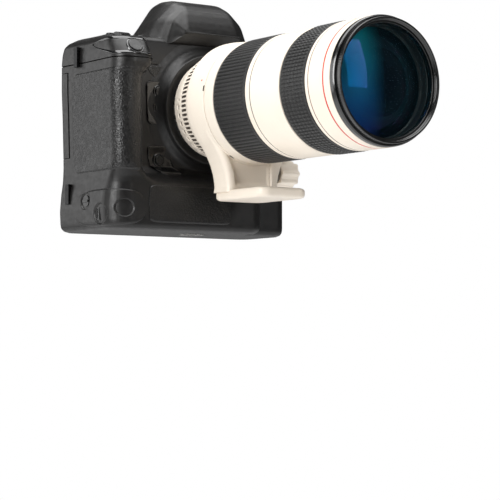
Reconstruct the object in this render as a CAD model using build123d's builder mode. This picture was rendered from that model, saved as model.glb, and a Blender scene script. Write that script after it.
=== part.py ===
from build123d import *
from math import cos, degrees, radians, sin, sqrt
import os

os.makedirs("parts", exist_ok=True)

# Single-lens reflex camera with a built-in vertical grip, carrying a telephoto zoom lens on
# a turning tripod collar.  Millimetres.  The origin is the mouth of the tripod socket in the
# base; -Y is the way the lens points, +Z is up, and the hand grip is on the -X side.

# ---- camera body ---------------------------------------------------------------------
GRIP_SIDE = 88.0          # optical axis to the grip side
FAR_SIDE = 70.0           # optical axis to the battery side
BACK = 34.0               # socket axis to the back face
FRONT = 20.0              # socket axis to the plain front wall
FLANGE = 30.0             # socket axis to the lens flange
AXIS_H = 87.0             # optical axis above the base
SEAM_H = AXIS_H + 30.0    # seam between the front cover and the top cover
DECK_H = AXIS_H + 50.0    # top deck
HEIGHT = DECK_H + 30.6    # top of the prism hump
BASE_T = 4.0              # thickness of the base plate
WALL = 2.5                # wall of the covers
CORNER_R = 9.0            # upright corners of the body
PART_Y = 12.0             # where the front and rear covers meet

GRIP_DEPTH = 43.0         # socket axis to the nose of the hand grip
NOSE_R = 11.5             # radius of that nose
SHOULDER_DEPTH = 46.0     # socket axis to the front of the shoulder over the grip
SHOULDER_W = 28.0         # width of the shoulder
SHOULDER_FLOOR = SEAM_H - 6.0    # underside of the shoulder
SHOULDER_H = DECK_H - 4.0        # top of the shoulder
SLOPE_FOOT_H = SEAM_H + 2.0      # where the sloping release panel starts
SLOPE_RISE = 12.0
SLOPE_RUN = 9.0
BULGE_DEPTH = 40.0        # socket axis to the front of the vertical grip
BULGE_H = 37.0            # height of the vertical grip's front
BULGE_R = 25.0            # its large corner on the grip side
BULGE_END = 36.0          # where it ends on the far side
BULGE_END_R = 16.0
RUBBER_T = 1.5            # grip and base rubber

FREE = 0.3                # gap beside anything that moves
RUN = 0.05                # radial running clearance of turned fits

# ---- internal works ------------------------------------------------------------------
SENSOR_Y = 14.0           # image plane, 44 mm behind the flange
IMAGE_W = 36.0
IMAGE_H = 24.0
MIRROR_L = 28.6
MIRROR_T = 1.2
MIRROR_PIVOT = (4.0, AXIS_H + 14.0)
PIN_R = 0.8
SHUTTER_Y = 10.2
SHUTTER_T = 2.6
SHUTTER_TRAVEL = 25.5

# ---- lens mount ----------------------------------------------------------------------
THROAT_R = 27.0
MOUNT_R = 33.0
MOUNT_T = 2.5
BOSS_R = 38.0

# ---- lens, measured forward from the flange -------------------------------------------
REAR_END = 26.0           # end of the slotted rear barrel
COLLAR_END = 49.2         # end of the tripod collar
INDEX_END = 59.9          # end of the index band
ZOOM_END = 97.4           # end of the zoom ring
MIDDLE_END = 136.0        # end of the barrel with the distance window
FOCUS_END = 163.3         # end of the focus ring
FRONT_END = 189.5         # end of the white front barrel
LENS_L = 193.6            # front rim of the lens
FILTER_L = 4.0            # filter in front of the rim
TUBE_R = 38.0             # outside of the inner tube
TUBE_BORE_R = TUBE_R - 1.8
BARREL_R = TUBE_R + 4.1
GRIP_RING_R = BARREL_R + 0.2
SLEEVE_R = TUBE_R + 2.5   # under the ring rubbers
FILTER_THREAD_R = TUBE_R + 0.5    # 77 mm filter thread
FILTER_R = FILTER_THREAD_R + 1.7
FILTER_GLASS_R = FILTER_THREAD_R - 1.9
MOUNT_END_R = TUBE_R - 2.5

# ---- tripod collar ---------------------------------------------------------------------
COLLAR_R = BARREL_R + 1.4
FOOT_W = 39.0
FOOT_T = 7.0
FOOT_FRONT = 85.0         # front end of the foot, forward from the flange
FOOT_DROP = 67.0          # optical axis to the underside of the foot
NECK_W = 41.0
CLAMP_GAP = 0.7
CLAMP_X = 14.0
KNOB_R = 9.5
KNOB_L = 15.0
KNOB_STEM_R = 3.0
SCREW_R = 3.175           # 1/4 inch tripod thread
SOCKET_DEPTH = 5.5
FOOT_SOCKET_DEPTH = 6.0

# ---- worked out from the sizes above ---------------------------------------------------
NOSE_X = -GRIP_SIDE + NOSE_R
NOSE_Y = -GRIP_DEPTH + NOSE_R
FOOT_Z = AXIS_H - FOOT_DROP
LENS_AXIS = Axis((0, -FLANGE, AXIS_H), (0, -1, 0))
LENS_SECTION = Plane(origin=(0, -FLANGE, AXIS_H), x_dir=(0, -1, 0), z_dir=(-1, 0, 0))
LENS_FACE = Plane(origin=(0, -FLANGE, AXIS_H), x_dir=(1, 0, 0), z_dir=(0, -1, 0))
SIDE_SECTION = Plane.YZ


def block(west, east, south, north, floor, top, corner, rim=0.0, foot=0.0):
    """Upright block with rounded corners, a rounded top rim and a rounded foot."""
    with BuildPart() as shape:
        with BuildSketch(Plane.XY.offset(floor)):
            with Locations(((west + east) / 2, (south + north) / 2)):
                RectangleRounded(east - west, north - south, corner)
        extrude(amount=top - floor)
        if rim > 0:
            fillet(shape.faces().sort_by(Axis.Z)[-1].edges(), rim)
        if foot > 0:
            fillet(shape.faces().sort_by(Axis.Z)[0].edges(), foot)
    return shape.part


def keep(west, east, south, north, floor, top):
    """Keep only what lies inside a box."""
    with Locations(((west + east) / 2, (south + north) / 2, (floor + top) / 2)):
        Box(east - west, north - south, top - floor, mode=Mode.INTERSECT)


def cut(west, east, south, north, floor, top):
    """Cut a box out of the piece."""
    with Locations(((west + east) / 2, (south + north) / 2, (floor + top) / 2)):
        Box(east - west, north - south, top - floor, mode=Mode.SUBTRACT)


def bar(west, east, south, north, floor, top):
    """Add a box to the piece."""
    with Locations(((west + east) / 2, (south + north) / 2, (floor + top) / 2)):
        Box(east - west, north - south, top - floor)


def ring(start, end, bore, outside, mode=Mode.ADD):
    """Turned ring about the optical axis, from start to end forward of the flange."""
    with BuildSketch(LENS_SECTION) as section:
        with Locations(((start + end) / 2, (bore + outside) / 2)):
            Rectangle(end - start, outside - bore)
    revolve(section.sketch, axis=LENS_AXIS, mode=mode)


def turned(points, mode=Mode.ADD):
    """Turned shape about the optical axis from its outline of (forward, radius) points."""
    with BuildSketch(LENS_SECTION) as section:
        with BuildLine():
            Polyline(*points, close=True)
        make_face()
    revolve(section.sketch, axis=LENS_AXIS, mode=mode)


def disc(plane, radius, low, high, mode=Mode.ADD):
    """Round boss or hole on a plane, from low to high along the plane's normal."""
    with BuildSketch(plane.offset(low)) as section:
        Circle(radius)
    extrude(section.sketch, amount=high - low, mode=mode)


# ---- controls: the plane at the surface, radius, height proud, depth, key travel --------
SLOPE_MID = Vector(-GRIP_SIDE + 15.0, -SHOULDER_DEPTH + SLOPE_RUN / 2, SLOPE_FOOT_H + SLOPE_RISE / 2)
SLOPE_OUT = (0, -SLOPE_RISE, SLOPE_RUN)
BULGE_CX = -GRIP_SIDE + BULGE_R
BULGE_CY = -BULGE_DEPTH + BULGE_R


def bulge_plane(angle, height):
    """Plane on the vertical grip's round corner, angle degrees round from the side."""
    out = Vector(-cos(radians(angle)), -sin(radians(angle)), 0)
    spot = Vector(BULGE_CX, BULGE_CY, height) + out * BULGE_R
    return Plane(origin=spot, x_dir=(0, 0, 1), z_dir=out)


def front_plane(x, z, depth=FRONT):
    """Plane on a face that looks forward."""
    return Plane(origin=(x, -depth, z), x_dir=(1, 0, 0), z_dir=(0, -1, 0))


def back_plane(x, z):
    """Plane on the back face."""
    return Plane(origin=(x, BACK, z), x_dir=(-1, 0, 0), z_dir=(0, 1, 0))


def deck_plane(x, y):
    """Plane on the top deck."""
    return Plane(origin=(x, y, DECK_H), x_dir=(1, 0, 0), z_dir=(0, 0, 1))


DIAL_R = 8.5
DIAL_L = 9.0
DIAL_STAND = 2.0          # how far a dial stands out of the grip
DIAL_ANGLE = 15.0         # place of the vertical dial round the grip's corner
BULGE_KEY_R = 5.0
DIAL_KEY_GAP = 4.39       # gap along the corner between that dial and its button
BULGE_KEY_ANGLE = DIAL_ANGLE + degrees((DIAL_R + BULGE_KEY_R + DIAL_KEY_GAP) / BULGE_R)
KEY_DEPTH = 5.0
RECESS_X = -BOSS_R - 3.0   # finger recess between the grip and the lens mount
FRONT_KEYS = {
    "upper_function_button": (front_plane(RECESS_X, AXIS_H + 11.0), 3.3, 2.2),
    "middle_function_button": (front_plane(RECESS_X, AXIS_H - 0.5), 3.3, 2.2),
    "lower_function_button": (front_plane(RECESS_X, AXIS_H - 37.0), 3.3, 2.2),
    "lens_release_button": (front_plane(BOSS_R + 9.0, AXIS_H - 11.0), 6.0, 4.0),
    "vertical_shutter_button": (bulge_plane(BULGE_KEY_ANGLE, BULGE_H - 22.5), BULGE_KEY_R, 1.2),
}
TOP_KEYS = {
    "shutter_button": (Plane(origin=SLOPE_MID, x_dir=(1, 0, 0), z_dir=SLOPE_OUT), 5.2, 1.2),
    "light_button": (deck_plane(-GRIP_SIDE + 20.0, 0.0), 3.0, 2.4),
    "iso_button": (deck_plane(-GRIP_SIDE + 32.0, 0.0), 3.4, 2.4),
    "exposure_button": (deck_plane(-GRIP_SIDE + 43.5, -2.0), 3.0, 2.4),
}
BACK_KEYS = {
    "menu_button": (back_plane(FAR_SIDE - 18.0, AXIS_H + 17.0), 4.0, 1.8),
    "playback_button": (back_plane(FAR_SIDE - 18.0, AXIS_H - 37.0), 4.0, 1.8),
}

SWITCH_R = 6.0
SWITCH_ARM = 9.0
BACK_SWITCH = back_plane(-GRIP_SIDE + 36.0, AXIS_H - 47.0)
SIDE_SWITCH = Plane(origin=(-GRIP_SIDE, -3.0, BULGE_H - 16.5), x_dir=(0, -1, 0), z_dir=(-1, 0, 0))
SIDE_SWITCH_R = 4.0
SPINDLE_R = 1.5
SPINDLE_STAND = 1.2

MAIN_DIAL = (-GRIP_SIDE + 16.0, -SHOULDER_DEPTH + 25.0, SHOULDER_H + 4.0 - DIAL_R)
UPRIGHT_DIAL = (BULGE_CX - (BULGE_R + DIAL_STAND - DIAL_R) * cos(radians(DIAL_ANGLE)),
                BULGE_CY - (BULGE_R + DIAL_STAND - DIAL_R) * sin(radians(DIAL_ANGLE)),
                BASE_T + DIAL_L / 2 + 2.3)
BACK_DIAL_R = 15.0
BACK_DIAL_T = 4.5
BACK_DIAL_PROUD = 2.5
BACK_DIAL = back_plane(-GRIP_SIDE + 34.5, AXIS_H - 19.0)

DOOR_FLOOR = AXIS_H - 35.0
DOOR_TOP = SEAM_H - 5.0
DOOR_SIDE_Y = BACK - 12.0        # front edge of the card door on the grip side
DOOR_EAST = -GRIP_SIDE + 18.0         # its edge on the back face
DOOR_T = 2.2
DOOR_EDGE_GAP = 0.6

BATTERY_W = 34.0
BATTERY_H = 27.0
BATTERY_L = 57.0
BATTERY_Y = 6.0
BATTERY_FLOOR = BASE_T + 1.5
BATTERY_CAP_T = 3.0
LATCH_R = 7.0

TERMINAL_T = 2.0
TERMINAL_FLOOR = AXIS_H - 31.0
TERMINAL_TOP = AXIS_H + 19.0
TERMINAL_SOUTH = -8.0
TERMINAL_NORTH = 18.0

SCREEN_W = 72.0
SCREEN_H = 52.0
SCREEN_X = 6.0
SCREEN_Z = AXIS_H - 13.0
DISPLAY_W = 18.0
DISPLAY_D = 14.0
DISPLAY_AT = (-GRIP_SIDE + 31.0, BACK - 17.0)

# ---- outside shape of the camera body ----------------------------------------------------
with BuildPart() as shoulder:
    with BuildSketch(SIDE_SECTION.offset(-GRIP_SIDE)):
        with BuildLine():
            Polyline(
                (0, SHOULDER_FLOOR),
                (-SHOULDER_DEPTH, SHOULDER_FLOOR),
                (-SHOULDER_DEPTH, SLOPE_FOOT_H),
                (-SHOULDER_DEPTH + SLOPE_RUN, SLOPE_FOOT_H + SLOPE_RISE),
                (-SHOULDER_DEPTH + SLOPE_RUN + 4, SHOULDER_H),
                (0, SHOULDER_H),
                close=True,
            )
        make_face()
    extrude(amount=SHOULDER_W)
    add(
        block(-GRIP_SIDE, -GRIP_SIDE + SHOULDER_W, -SHOULDER_DEPTH, 10, SHOULDER_FLOOR,
              SHOULDER_H, CORNER_R),
        mode=Mode.INTERSECT,
    )

with BuildPart() as bulge:
    with BuildSketch():
        with BuildLine():
            Line((-GRIP_SIDE, 0), (-GRIP_SIDE, BULGE_CY))
            RadiusArc((-GRIP_SIDE, BULGE_CY), (BULGE_CX, -BULGE_DEPTH), -BULGE_R)
            Line((BULGE_CX, -BULGE_DEPTH), (BULGE_END - BULGE_END_R, -BULGE_DEPTH))
            RadiusArc(
                (BULGE_END - BULGE_END_R, -BULGE_DEPTH),
                (BULGE_END, -BULGE_DEPTH + BULGE_END_R),
                -BULGE_END_R,
            )
            Polyline((BULGE_END, -BULGE_DEPTH + BULGE_END_R), (BULGE_END, 0), (-GRIP_SIDE, 0))
        make_face()
    extrude(amount=BULGE_H)
    fillet(bulge.faces().sort_by(Axis.Z)[-1].edges().sort_by(Axis.Y)[0], 6)

with BuildPart() as envelope:
    add(block(-GRIP_SIDE, FAR_SIDE, -FRONT, BACK, 0, DECK_H, CORNER_R, rim=7))
    add(bulge.part)
    add(shoulder.part)
    with BuildSketch(Plane.XY.offset(BULGE_H - 8)):
        with Locations((NOSE_X, NOSE_Y)):
            Circle(NOSE_R)
        with Locations((NOSE_X, NOSE_Y / 2)):
            Rectangle(2 * NOSE_R, -NOSE_Y)
    extrude(amount=SHOULDER_FLOOR - BULGE_H + 8)
    disc(LENS_FACE, BOSS_R, -FLANGE + FRONT - 2, -MOUNT_T)

with BuildPart() as cavity:
    add(
        block(-GRIP_SIDE + WALL, FAR_SIDE - WALL, -FRONT + WALL, BACK - WALL, BASE_T,
              DECK_H - WALL, CORNER_R - WALL)
    )
    with BuildSketch(Plane.XY.offset(BASE_T)):
        with Locations((NOSE_X, NOSE_Y)):
            Circle(NOSE_R - WALL - RUBBER_T)
        with Locations((NOSE_X, NOSE_Y / 2)):
            Rectangle(2 * (NOSE_R - WALL - RUBBER_T), -NOSE_Y)
    extrude(amount=SLOPE_FOOT_H - BASE_T)
    bar(BULGE_CX, BULGE_END - BULGE_END_R, -BULGE_DEPTH + RUBBER_T + WALL, 0, BASE_T,
        BULGE_H - WALL - 4)

with BuildPart() as grip_skin:
    with BuildSketch(Plane.XY.offset(BULGE_H + 3)):
        with Locations((NOSE_X, NOSE_Y)):
            Circle(NOSE_R)
        with Locations((NOSE_X, (NOSE_Y - FRONT) / 2)):
            Rectangle(2 * NOSE_R, -NOSE_Y - FRONT)
        with Locations((NOSE_X, NOSE_Y)):
            Circle(NOSE_R - RUBBER_T, mode=Mode.SUBTRACT)
        with Locations((NOSE_X, (NOSE_Y - FRONT) / 2)):
            Rectangle(2 * (NOSE_R - RUBBER_T), -NOSE_Y - FRONT, mode=Mode.SUBTRACT)
    extrude(amount=SHOULDER_FLOOR - BULGE_H - 4)

# ---- covers --------------------------------------------------------------------------------
with BuildPart() as front_cover:
    add(envelope.part)
    add(cavity.part, mode=Mode.SUBTRACT)
    keep(-GRIP_SIDE - 1, FAR_SIDE + 1, -SHOULDER_DEPTH - 1, PART_Y, BASE_T, SEAM_H)
    add(grip_skin.part, mode=Mode.SUBTRACT)
    cut(BULGE_CX + 4, BULGE_END - BULGE_END_R, -BULGE_DEPTH, -BULGE_DEPTH + RUBBER_T,
        BASE_T + 2, BULGE_H - 8)
    disc(LENS_FACE, THROAT_R + 1, -FLANGE + FRONT - 4, 0, mode=Mode.SUBTRACT)
    for place, radius, _ in FRONT_KEYS.values():
        disc(place, radius + FREE, -KEY_DEPTH - 3, 3, mode=Mode.SUBTRACT)
    with Locations(UPRIGHT_DIAL, Location(MAIN_DIAL, (0, 90, 0))):
        Cylinder(DIAL_R + FREE, DIAL_L + 2 * FREE, mode=Mode.SUBTRACT)
        Cylinder(SPINDLE_R + RUN, DIAL_L + 2 * SPINDLE_STAND + 1, mode=Mode.SUBTRACT)
    disc(SIDE_SWITCH, SPINDLE_R + RUN, -WALL - 1, 1, mode=Mode.SUBTRACT)
    disc(SIDE_SWITCH, SIDE_SWITCH_R + FREE, -1, 3, mode=Mode.SUBTRACT)
    cut(FAR_SIDE - TERMINAL_T, FAR_SIDE + 1, TERMINAL_SOUTH - FREE, PART_Y + 1,
        TERMINAL_FLOOR - FREE, TERMINAL_TOP + FREE)
    cut(FAR_SIDE - WALL - 1, FAR_SIDE + 1, BATTERY_Y - BATTERY_W / 2 - FREE, PART_Y + 1,
        BATTERY_FLOOR - FREE, BATTERY_FLOOR + BATTERY_H + FREE)
front_cover.part.label = "front_cover"
export_step(front_cover.part, "parts/front_cover.step")

with BuildPart() as rear_cover:
    add(envelope.part)
    add(cavity.part, mode=Mode.SUBTRACT)
    keep(-GRIP_SIDE - 1, FAR_SIDE + 1, PART_Y, BACK + 1, BASE_T, SEAM_H)
    cut(-GRIP_SIDE - 1, DOOR_EAST + FREE, DOOR_SIDE_Y, BACK + 1, DOOR_FLOOR, DOOR_TOP)
    with Locations((SCREEN_X, BACK, SCREEN_Z)):
        Box(SCREEN_W, 2 * 1.2, SCREEN_H, mode=Mode.SUBTRACT)
    disc(BACK_DIAL, BACK_DIAL_R + FREE, BACK_DIAL_PROUD - BACK_DIAL_T - FREE, 5,
         mode=Mode.SUBTRACT)
    disc(BACK_DIAL, SPINDLE_R + RUN, -8, 5, mode=Mode.SUBTRACT)
    disc(BACK_SWITCH, SPINDLE_R + RUN, -8, 5, mode=Mode.SUBTRACT)
    for place, radius, _ in BACK_KEYS.values():
        disc(place, radius + FREE, -KEY_DEPTH - 3, 3, mode=Mode.SUBTRACT)
    cut(FAR_SIDE - TERMINAL_T, FAR_SIDE + 1, PART_Y - 1, TERMINAL_NORTH + FREE,
        TERMINAL_FLOOR - FREE, TERMINAL_TOP + FREE)
    cut(FAR_SIDE - WALL - 1, FAR_SIDE + 1, PART_Y - 1, BATTERY_Y + BATTERY_W / 2 + FREE,
        BATTERY_FLOOR - FREE, BATTERY_FLOOR + BATTERY_H + FREE)
rear_cover.part.label = "rear_cover"
export_step(rear_cover.part, "parts/rear_cover.step")

with BuildPart() as base_plate:
    add(envelope.part)
    keep(-GRIP_SIDE - 1, FAR_SIDE + 1, -SHOULDER_DEPTH - 1, BACK + 1, 0, BASE_T)
    fillet(base_plate.faces().sort_by(Axis.Z)[0].edges(), 3)
    disc(Plane.XY, 9.0, -1, BASE_T + 1, mode=Mode.SUBTRACT)
base_plate.part.label = "base_plate"
export_step(base_plate.part, "parts/base_plate.step")

with BuildPart() as tripod_socket:
    disc(Plane.XY, 9.0, 0, SOCKET_DEPTH + 2)
    disc(Plane.XY, SCREW_R, 0, SOCKET_DEPTH, mode=Mode.SUBTRACT)
tripod_socket.part.label = "tripod_socket"
export_step(tripod_socket.part, "parts/tripod_socket.step")

# ---- prism hump: sections across the body, (y, half width at the deck, shoulder, top, heights)
HUMP_SECTIONS = (
    (-FRONT - 7.0, 24.0, 21.0, 13.0, DECK_H + 10.0, HEIGHT - 14.6),
    (-FRONT, 33.0, 28.0, 16.0, DECK_H + 14.0, HEIGHT - 9.1),
    (-FRONT + 12.0, 39.0, 33.0, 15.0, DECK_H + 16.5, HEIGHT - 2.0),
    (12.0, 40.0, 33.0, 14.0, DECK_H + 16.0, HEIGHT),
    (BACK - 0.5, 31.0, 27.0, 17.0, DECK_H + 14.0, HEIGHT - 7.6),
)
HUMP_BACK = HUMP_SECTIONS[-1][0]
HUMP_FLOOR = DECK_H - 2.0
HUMP_WALL = 2.6


def hump_loft(floor, inset):
    """Faceted loft through the hump's sections, moved in by inset."""
    sections = []
    for y, deck, mid, top, mid_h, top_h in HUMP_SECTIONS:
        if y == HUMP_SECTIONS[0][0]:
            y += inset
        if y == HUMP_SECTIONS[-1][0]:
            y -= inset
        with BuildSketch(Plane(origin=(0, y, 0), x_dir=(1, 0, 0), z_dir=(0, -1, 0))) as cross:
            with BuildLine():
                Polyline(
                    (-deck + inset, floor), (deck - inset, floor), (mid - inset, mid_h - inset / 2),
                    (top - inset / 2, top_h - inset), (-top + inset / 2, top_h - inset),
                    (-mid + inset, mid_h - inset / 2), close=True,
                )
            make_face()
        sections.append(cross.sketch)
    return loft(sections, ruled=True, mode=Mode.PRIVATE)


SHOE_Y = BACK - 15.0
SHOE_W = 22.0
SHOE_L = 18.0
SHOE_FLOOR = HEIGHT - 8.5
EYE_Z = DECK_H + 9.0
EYE_W = 30.0
EYE_H = 20.0

hump_outside = hump_loft(HUMP_FLOOR, 0.0)
hump_inside = hump_loft(HUMP_FLOOR - 1, HUMP_WALL)

with BuildPart() as prism_cover:
    add(hump_outside)
    add(hump_inside, mode=Mode.SUBTRACT)
    cut(-SHOE_W / 2 - 1, SHOE_W / 2 + 1, SHOE_Y - SHOE_L / 2 - 1, BACK + 1, SHOE_FLOOR, HEIGHT + 1)
    bar(-SHOE_W / 2 - 1, SHOE_W / 2 + 1, SHOE_Y - SHOE_L / 2 - 1, BACK - 4, SHOE_FLOOR - 1.5, SHOE_FLOOR)
    cut(-EYE_W / 2, EYE_W / 2, BACK - 5.5, BACK + 1, EYE_Z - EYE_H / 2, EYE_Z + EYE_H / 2)
prism_cover.part.label = "prism_cover"
export_step(prism_cover.part, "parts/prism_cover.step")

with BuildPart() as top_cover:
    add(envelope.part)
    add(cavity.part, mode=Mode.SUBTRACT)
    keep(-GRIP_SIDE - 1, FAR_SIDE + 1, -SHOULDER_DEPTH - 1, BACK + 1, SEAM_H, HEIGHT)
    add(hump_outside, mode=Mode.SUBTRACT)
    cut(-30, 30, -FRONT + 2, BACK - 9, DECK_H - WALL - 1, DECK_H)
    for place, radius, _ in TOP_KEYS.values():
        disc(place, radius + FREE, -KEY_DEPTH - 6, 3, mode=Mode.SUBTRACT)
    with Locations(Location(MAIN_DIAL, (0, 90, 0))):
        Cylinder(DIAL_R + FREE, DIAL_L + 2 * FREE, mode=Mode.SUBTRACT)
        Cylinder(SPINDLE_R + RUN, DIAL_L + 2 * SPINDLE_STAND + 1, mode=Mode.SUBTRACT)
    with Locations((DISPLAY_AT[0], DISPLAY_AT[1], DECK_H)):
        Box(DISPLAY_W, DISPLAY_D, 2 * 1.0, mode=Mode.SUBTRACT)
top_cover.part.label = "top_cover"
export_step(top_cover.part, "parts/top_cover.step")

with BuildPart() as top_display:
    bar(DISPLAY_AT[0] - DISPLAY_W / 2, DISPLAY_AT[0] + DISPLAY_W / 2, DISPLAY_AT[1] - DISPLAY_D / 2,
        DISPLAY_AT[1] + DISPLAY_D / 2, DECK_H - 1.0, DECK_H)
top_display.part.label = "top_display"
export_step(top_display.part, "parts/top_display.step")

with BuildPart() as accessory_shoe:
    bar(-SHOE_W / 2, SHOE_W / 2, SHOE_Y - SHOE_L / 2, SHOE_Y + SHOE_L / 2, SHOE_FLOOR,
        SHOE_FLOOR + 4.5)
    cut(-9.4, 9.4, SHOE_Y - SHOE_L / 2 + 1.2, BACK, SHOE_FLOOR + 1.2, SHOE_FLOOR + 3.3)
    cut(-6.4, 6.4, SHOE_Y - SHOE_L / 2 + 1.2, BACK, SHOE_FLOOR + 3.0, SHOE_FLOOR + 5)
accessory_shoe.part.label = "accessory_shoe"
export_step(accessory_shoe.part, "parts/accessory_shoe.step")

with BuildPart() as grip_rubber:
    add(grip_skin.part)
grip_rubber.part.label = "grip_rubber"
export_step(grip_rubber.part, "parts/grip_rubber.step")

with BuildPart() as base_rubber:
    bar(BULGE_CX + 4, BULGE_END - BULGE_END_R, -BULGE_DEPTH, -BULGE_DEPTH + RUBBER_T,
        BASE_T + 2, BULGE_H - 8)
base_rubber.part.label = "base_rubber"
export_step(base_rubber.part, "parts/base_rubber.step")

# ---- strap lugs: a metal plate with a slot at each of three corners -------------------------
LUG_H = 14.0
LUG_W = 9.0
LUG_T = 1.6
LUG_STAND = 3.0
LUG_BAR = 2.2
LUGS = (
    (-GRIP_SIDE, BACK - 14.0, BULGE_H - 10.5, -1),
    (-GRIP_SIDE, 9.0, SEAM_H + 4.5, -1),
    (FAR_SIDE, 9.0, SEAM_H + 4.5, 1),
)
with BuildPart() as strap_lugs:
    for x, y, z, side in LUGS:
        for end in (-1, 1):
            west, east = sorted((x, x + side * (LUG_STAND - LUG_T)))
            foot = z + end * (LUG_H - LUG_BAR) / 2
            bar(west, east, y - LUG_W / 4, y + LUG_W / 4, foot - LUG_BAR / 2, foot + LUG_BAR / 2)
        west, east = sorted((x + side * (LUG_STAND - LUG_T), x + side * LUG_STAND))
        bar(west, east, y - LUG_W / 4, y + LUG_W / 4, z - LUG_H / 2, z + LUG_H / 2)
strap_lugs.part.label = "strap_lugs"
export_step(strap_lugs.part, "parts/strap_lugs.step")

# ---- internal works ---------------------------------------------------------------------------
BOX_W = 54.0
BOX_FLOOR = AXIS_H - 25.0
BOX_TOP = AXIS_H + 27.0
CHAMBER_W = 42.0
CHAMBER_FLOOR = AXIS_H - 16.0
CHAMBER_TOP = AXIS_H + 18.0
BOX_FRONT = -FRONT + WALL + 0.2
with BuildPart() as mirror_box:
    bar(-BOX_W / 2, BOX_W / 2, BOX_FRONT, SHUTTER_Y, BOX_FLOOR, BOX_TOP)
    cut(-CHAMBER_W / 2, CHAMBER_W / 2, BOX_FRONT - 1, SHUTTER_Y + 1, CHAMBER_FLOOR, CHAMBER_TOP)
    cut(-IMAGE_W / 2, IMAGE_W / 2, BOX_FRONT + 3, 3, CHAMBER_TOP - 1, BOX_TOP + 1)
    with Locations(Location((0, MIRROR_PIVOT[0], MIRROR_PIVOT[1]), (0, 90, 0))):
        Cylinder(PIN_R + RUN, CHAMBER_W + 6, mode=Mode.SUBTRACT)
    bar(-6, 6, -6, 6, SOCKET_DEPTH + 2, BOX_FLOOR)
mirror_box.part.label = "mirror_box"
export_step(mirror_box.part, "parts/mirror_box.step")

with BuildPart() as mirror:
    slope = 1 / sqrt(2)
    with BuildSketch(Plane(origin=(0, MIRROR_PIVOT[0], MIRROR_PIVOT[1]), x_dir=(1, 0, 0),
                           z_dir=(0, -slope, slope)).offset(-MIRROR_T / 2)):
        with Locations((0, -MIRROR_L / 2)):
            Rectangle(IMAGE_W, MIRROR_L)
    extrude(amount=MIRROR_T)
    with Locations(Location((0, MIRROR_PIVOT[0], MIRROR_PIVOT[1]), (0, 90, 0))):
        Cylinder(PIN_R, CHAMBER_W + 4)
mirror.part.label = "mirror"
export_step(mirror.part, "parts/mirror.step")

SCREEN_PLATE_T = 1.5
with BuildPart() as focusing_screen:
    bar(-IMAGE_W / 2, IMAGE_W / 2, BOX_FRONT + 3, 3, CHAMBER_TOP + 2,
        CHAMBER_TOP + 2 + SCREEN_PLATE_T)
focusing_screen.part.label = "focusing_screen"
export_step(focusing_screen.part, "parts/focusing_screen.step")

with BuildPart() as pentaprism:
    with BuildSketch(SIDE_SECTION.offset(-IMAGE_W / 2)):
        with BuildLine():
            Polyline((-13, BOX_TOP), (12, BOX_TOP), (22, BOX_TOP + 22), (20, BOX_TOP + 36),
                     (-2, BOX_TOP + 41), (-15, BOX_TOP + 32), close=True)
        make_face()
    extrude(amount=IMAGE_W)
    chamfer(pentaprism.edges().filter_by(GeomType.LINE).group_by(Axis.Z)[-1], 5)
pentaprism.part.label = "pentaprism"
export_step(pentaprism.part, "parts/pentaprism.step")

FRAME_FLOOR = AXIS_H - IMAGE_H / 2 - SHUTTER_TRAVEL - 3
FRAME_TOP = AXIS_H + IMAGE_H / 2 + 9
BLADE_T = 0.6
with BuildPart() as shutter_frame:
    bar(-24, 24, SHUTTER_Y, SHUTTER_Y + SHUTTER_T, FRAME_FLOOR, FRAME_TOP)
    cut(-20, 20, SHUTTER_Y + 0.6, SHUTTER_Y + SHUTTER_T - 0.6, FRAME_FLOOR + 1.2, FRAME_TOP - 2)
    cut(-IMAGE_W / 2, IMAGE_W / 2, 0, BACK, AXIS_H - IMAGE_H / 2, AXIS_H + IMAGE_H / 2)
shutter_frame.part.label = "shutter_frame"
export_step(shutter_frame.part, "parts/shutter_frame.step")

with BuildPart() as shutter_blades:
    bar(-19.6, 19.6, SHUTTER_Y + (SHUTTER_T - BLADE_T) / 2, SHUTTER_Y + (SHUTTER_T + BLADE_T) / 2,
        AXIS_H - IMAGE_H / 2 - 1, AXIS_H + IMAGE_H / 2 + 1)
shutter_blades.part.label = "shutter_blades"
export_step(shutter_blades.part, "parts/shutter_blades.step")

with BuildPart() as image_sensor:
    bar(-24, 24, SENSOR_Y, SENSOR_Y + 2, AXIS_H - 18, AXIS_H + 18)
    bar(-IMAGE_W / 2, IMAGE_W / 2, SENSOR_Y - 1, SENSOR_Y, AXIS_H - IMAGE_H / 2,
        AXIS_H + IMAGE_H / 2)
    bar(-24, 24, SHUTTER_Y + SHUTTER_T, SENSOR_Y, AXIS_H + 15, AXIS_H + 18)
image_sensor.part.label = "image_sensor"
export_step(image_sensor.part, "parts/image_sensor.step")

with BuildPart() as mount_ring:
    ring(-MOUNT_T, 0, THROAT_R, MOUNT_R)
    for turn in range(3):
        with BuildSketch(LENS_FACE.offset(-MOUNT_T)) as tab:
            with BuildLine():
                CenterArc((0, 0), THROAT_R + 0.5, 10 + 120 * turn, 58)
                CenterArc((0, 0), THROAT_R - 1.6, 10 + 120 * turn, 58)
                for end in (10, 68):
                    way = radians(end + 120 * turn)
                    Line(
                        ((THROAT_R - 1.6) * cos(way), (THROAT_R - 1.6) * sin(way)),
                        ((THROAT_R + 0.5) * cos(way), (THROAT_R + 0.5) * sin(way)),
                    )
            make_face()
        extrude(amount=1.4)
mount_ring.part.label = "mount_ring"
export_step(mount_ring.part, "parts/mount_ring.step")

# ---- back of the camera ---------------------------------------------------------------------
with BuildPart() as rear_screen:
    bar(SCREEN_X - SCREEN_W / 2, SCREEN_X + SCREEN_W / 2, BACK - 1.2, BACK + 0.4,
        SCREEN_Z - SCREEN_H / 2, SCREEN_Z + SCREEN_H / 2)
rear_screen.part.label = "rear_screen"
export_step(rear_screen.part, "parts/rear_screen.step")

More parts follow.
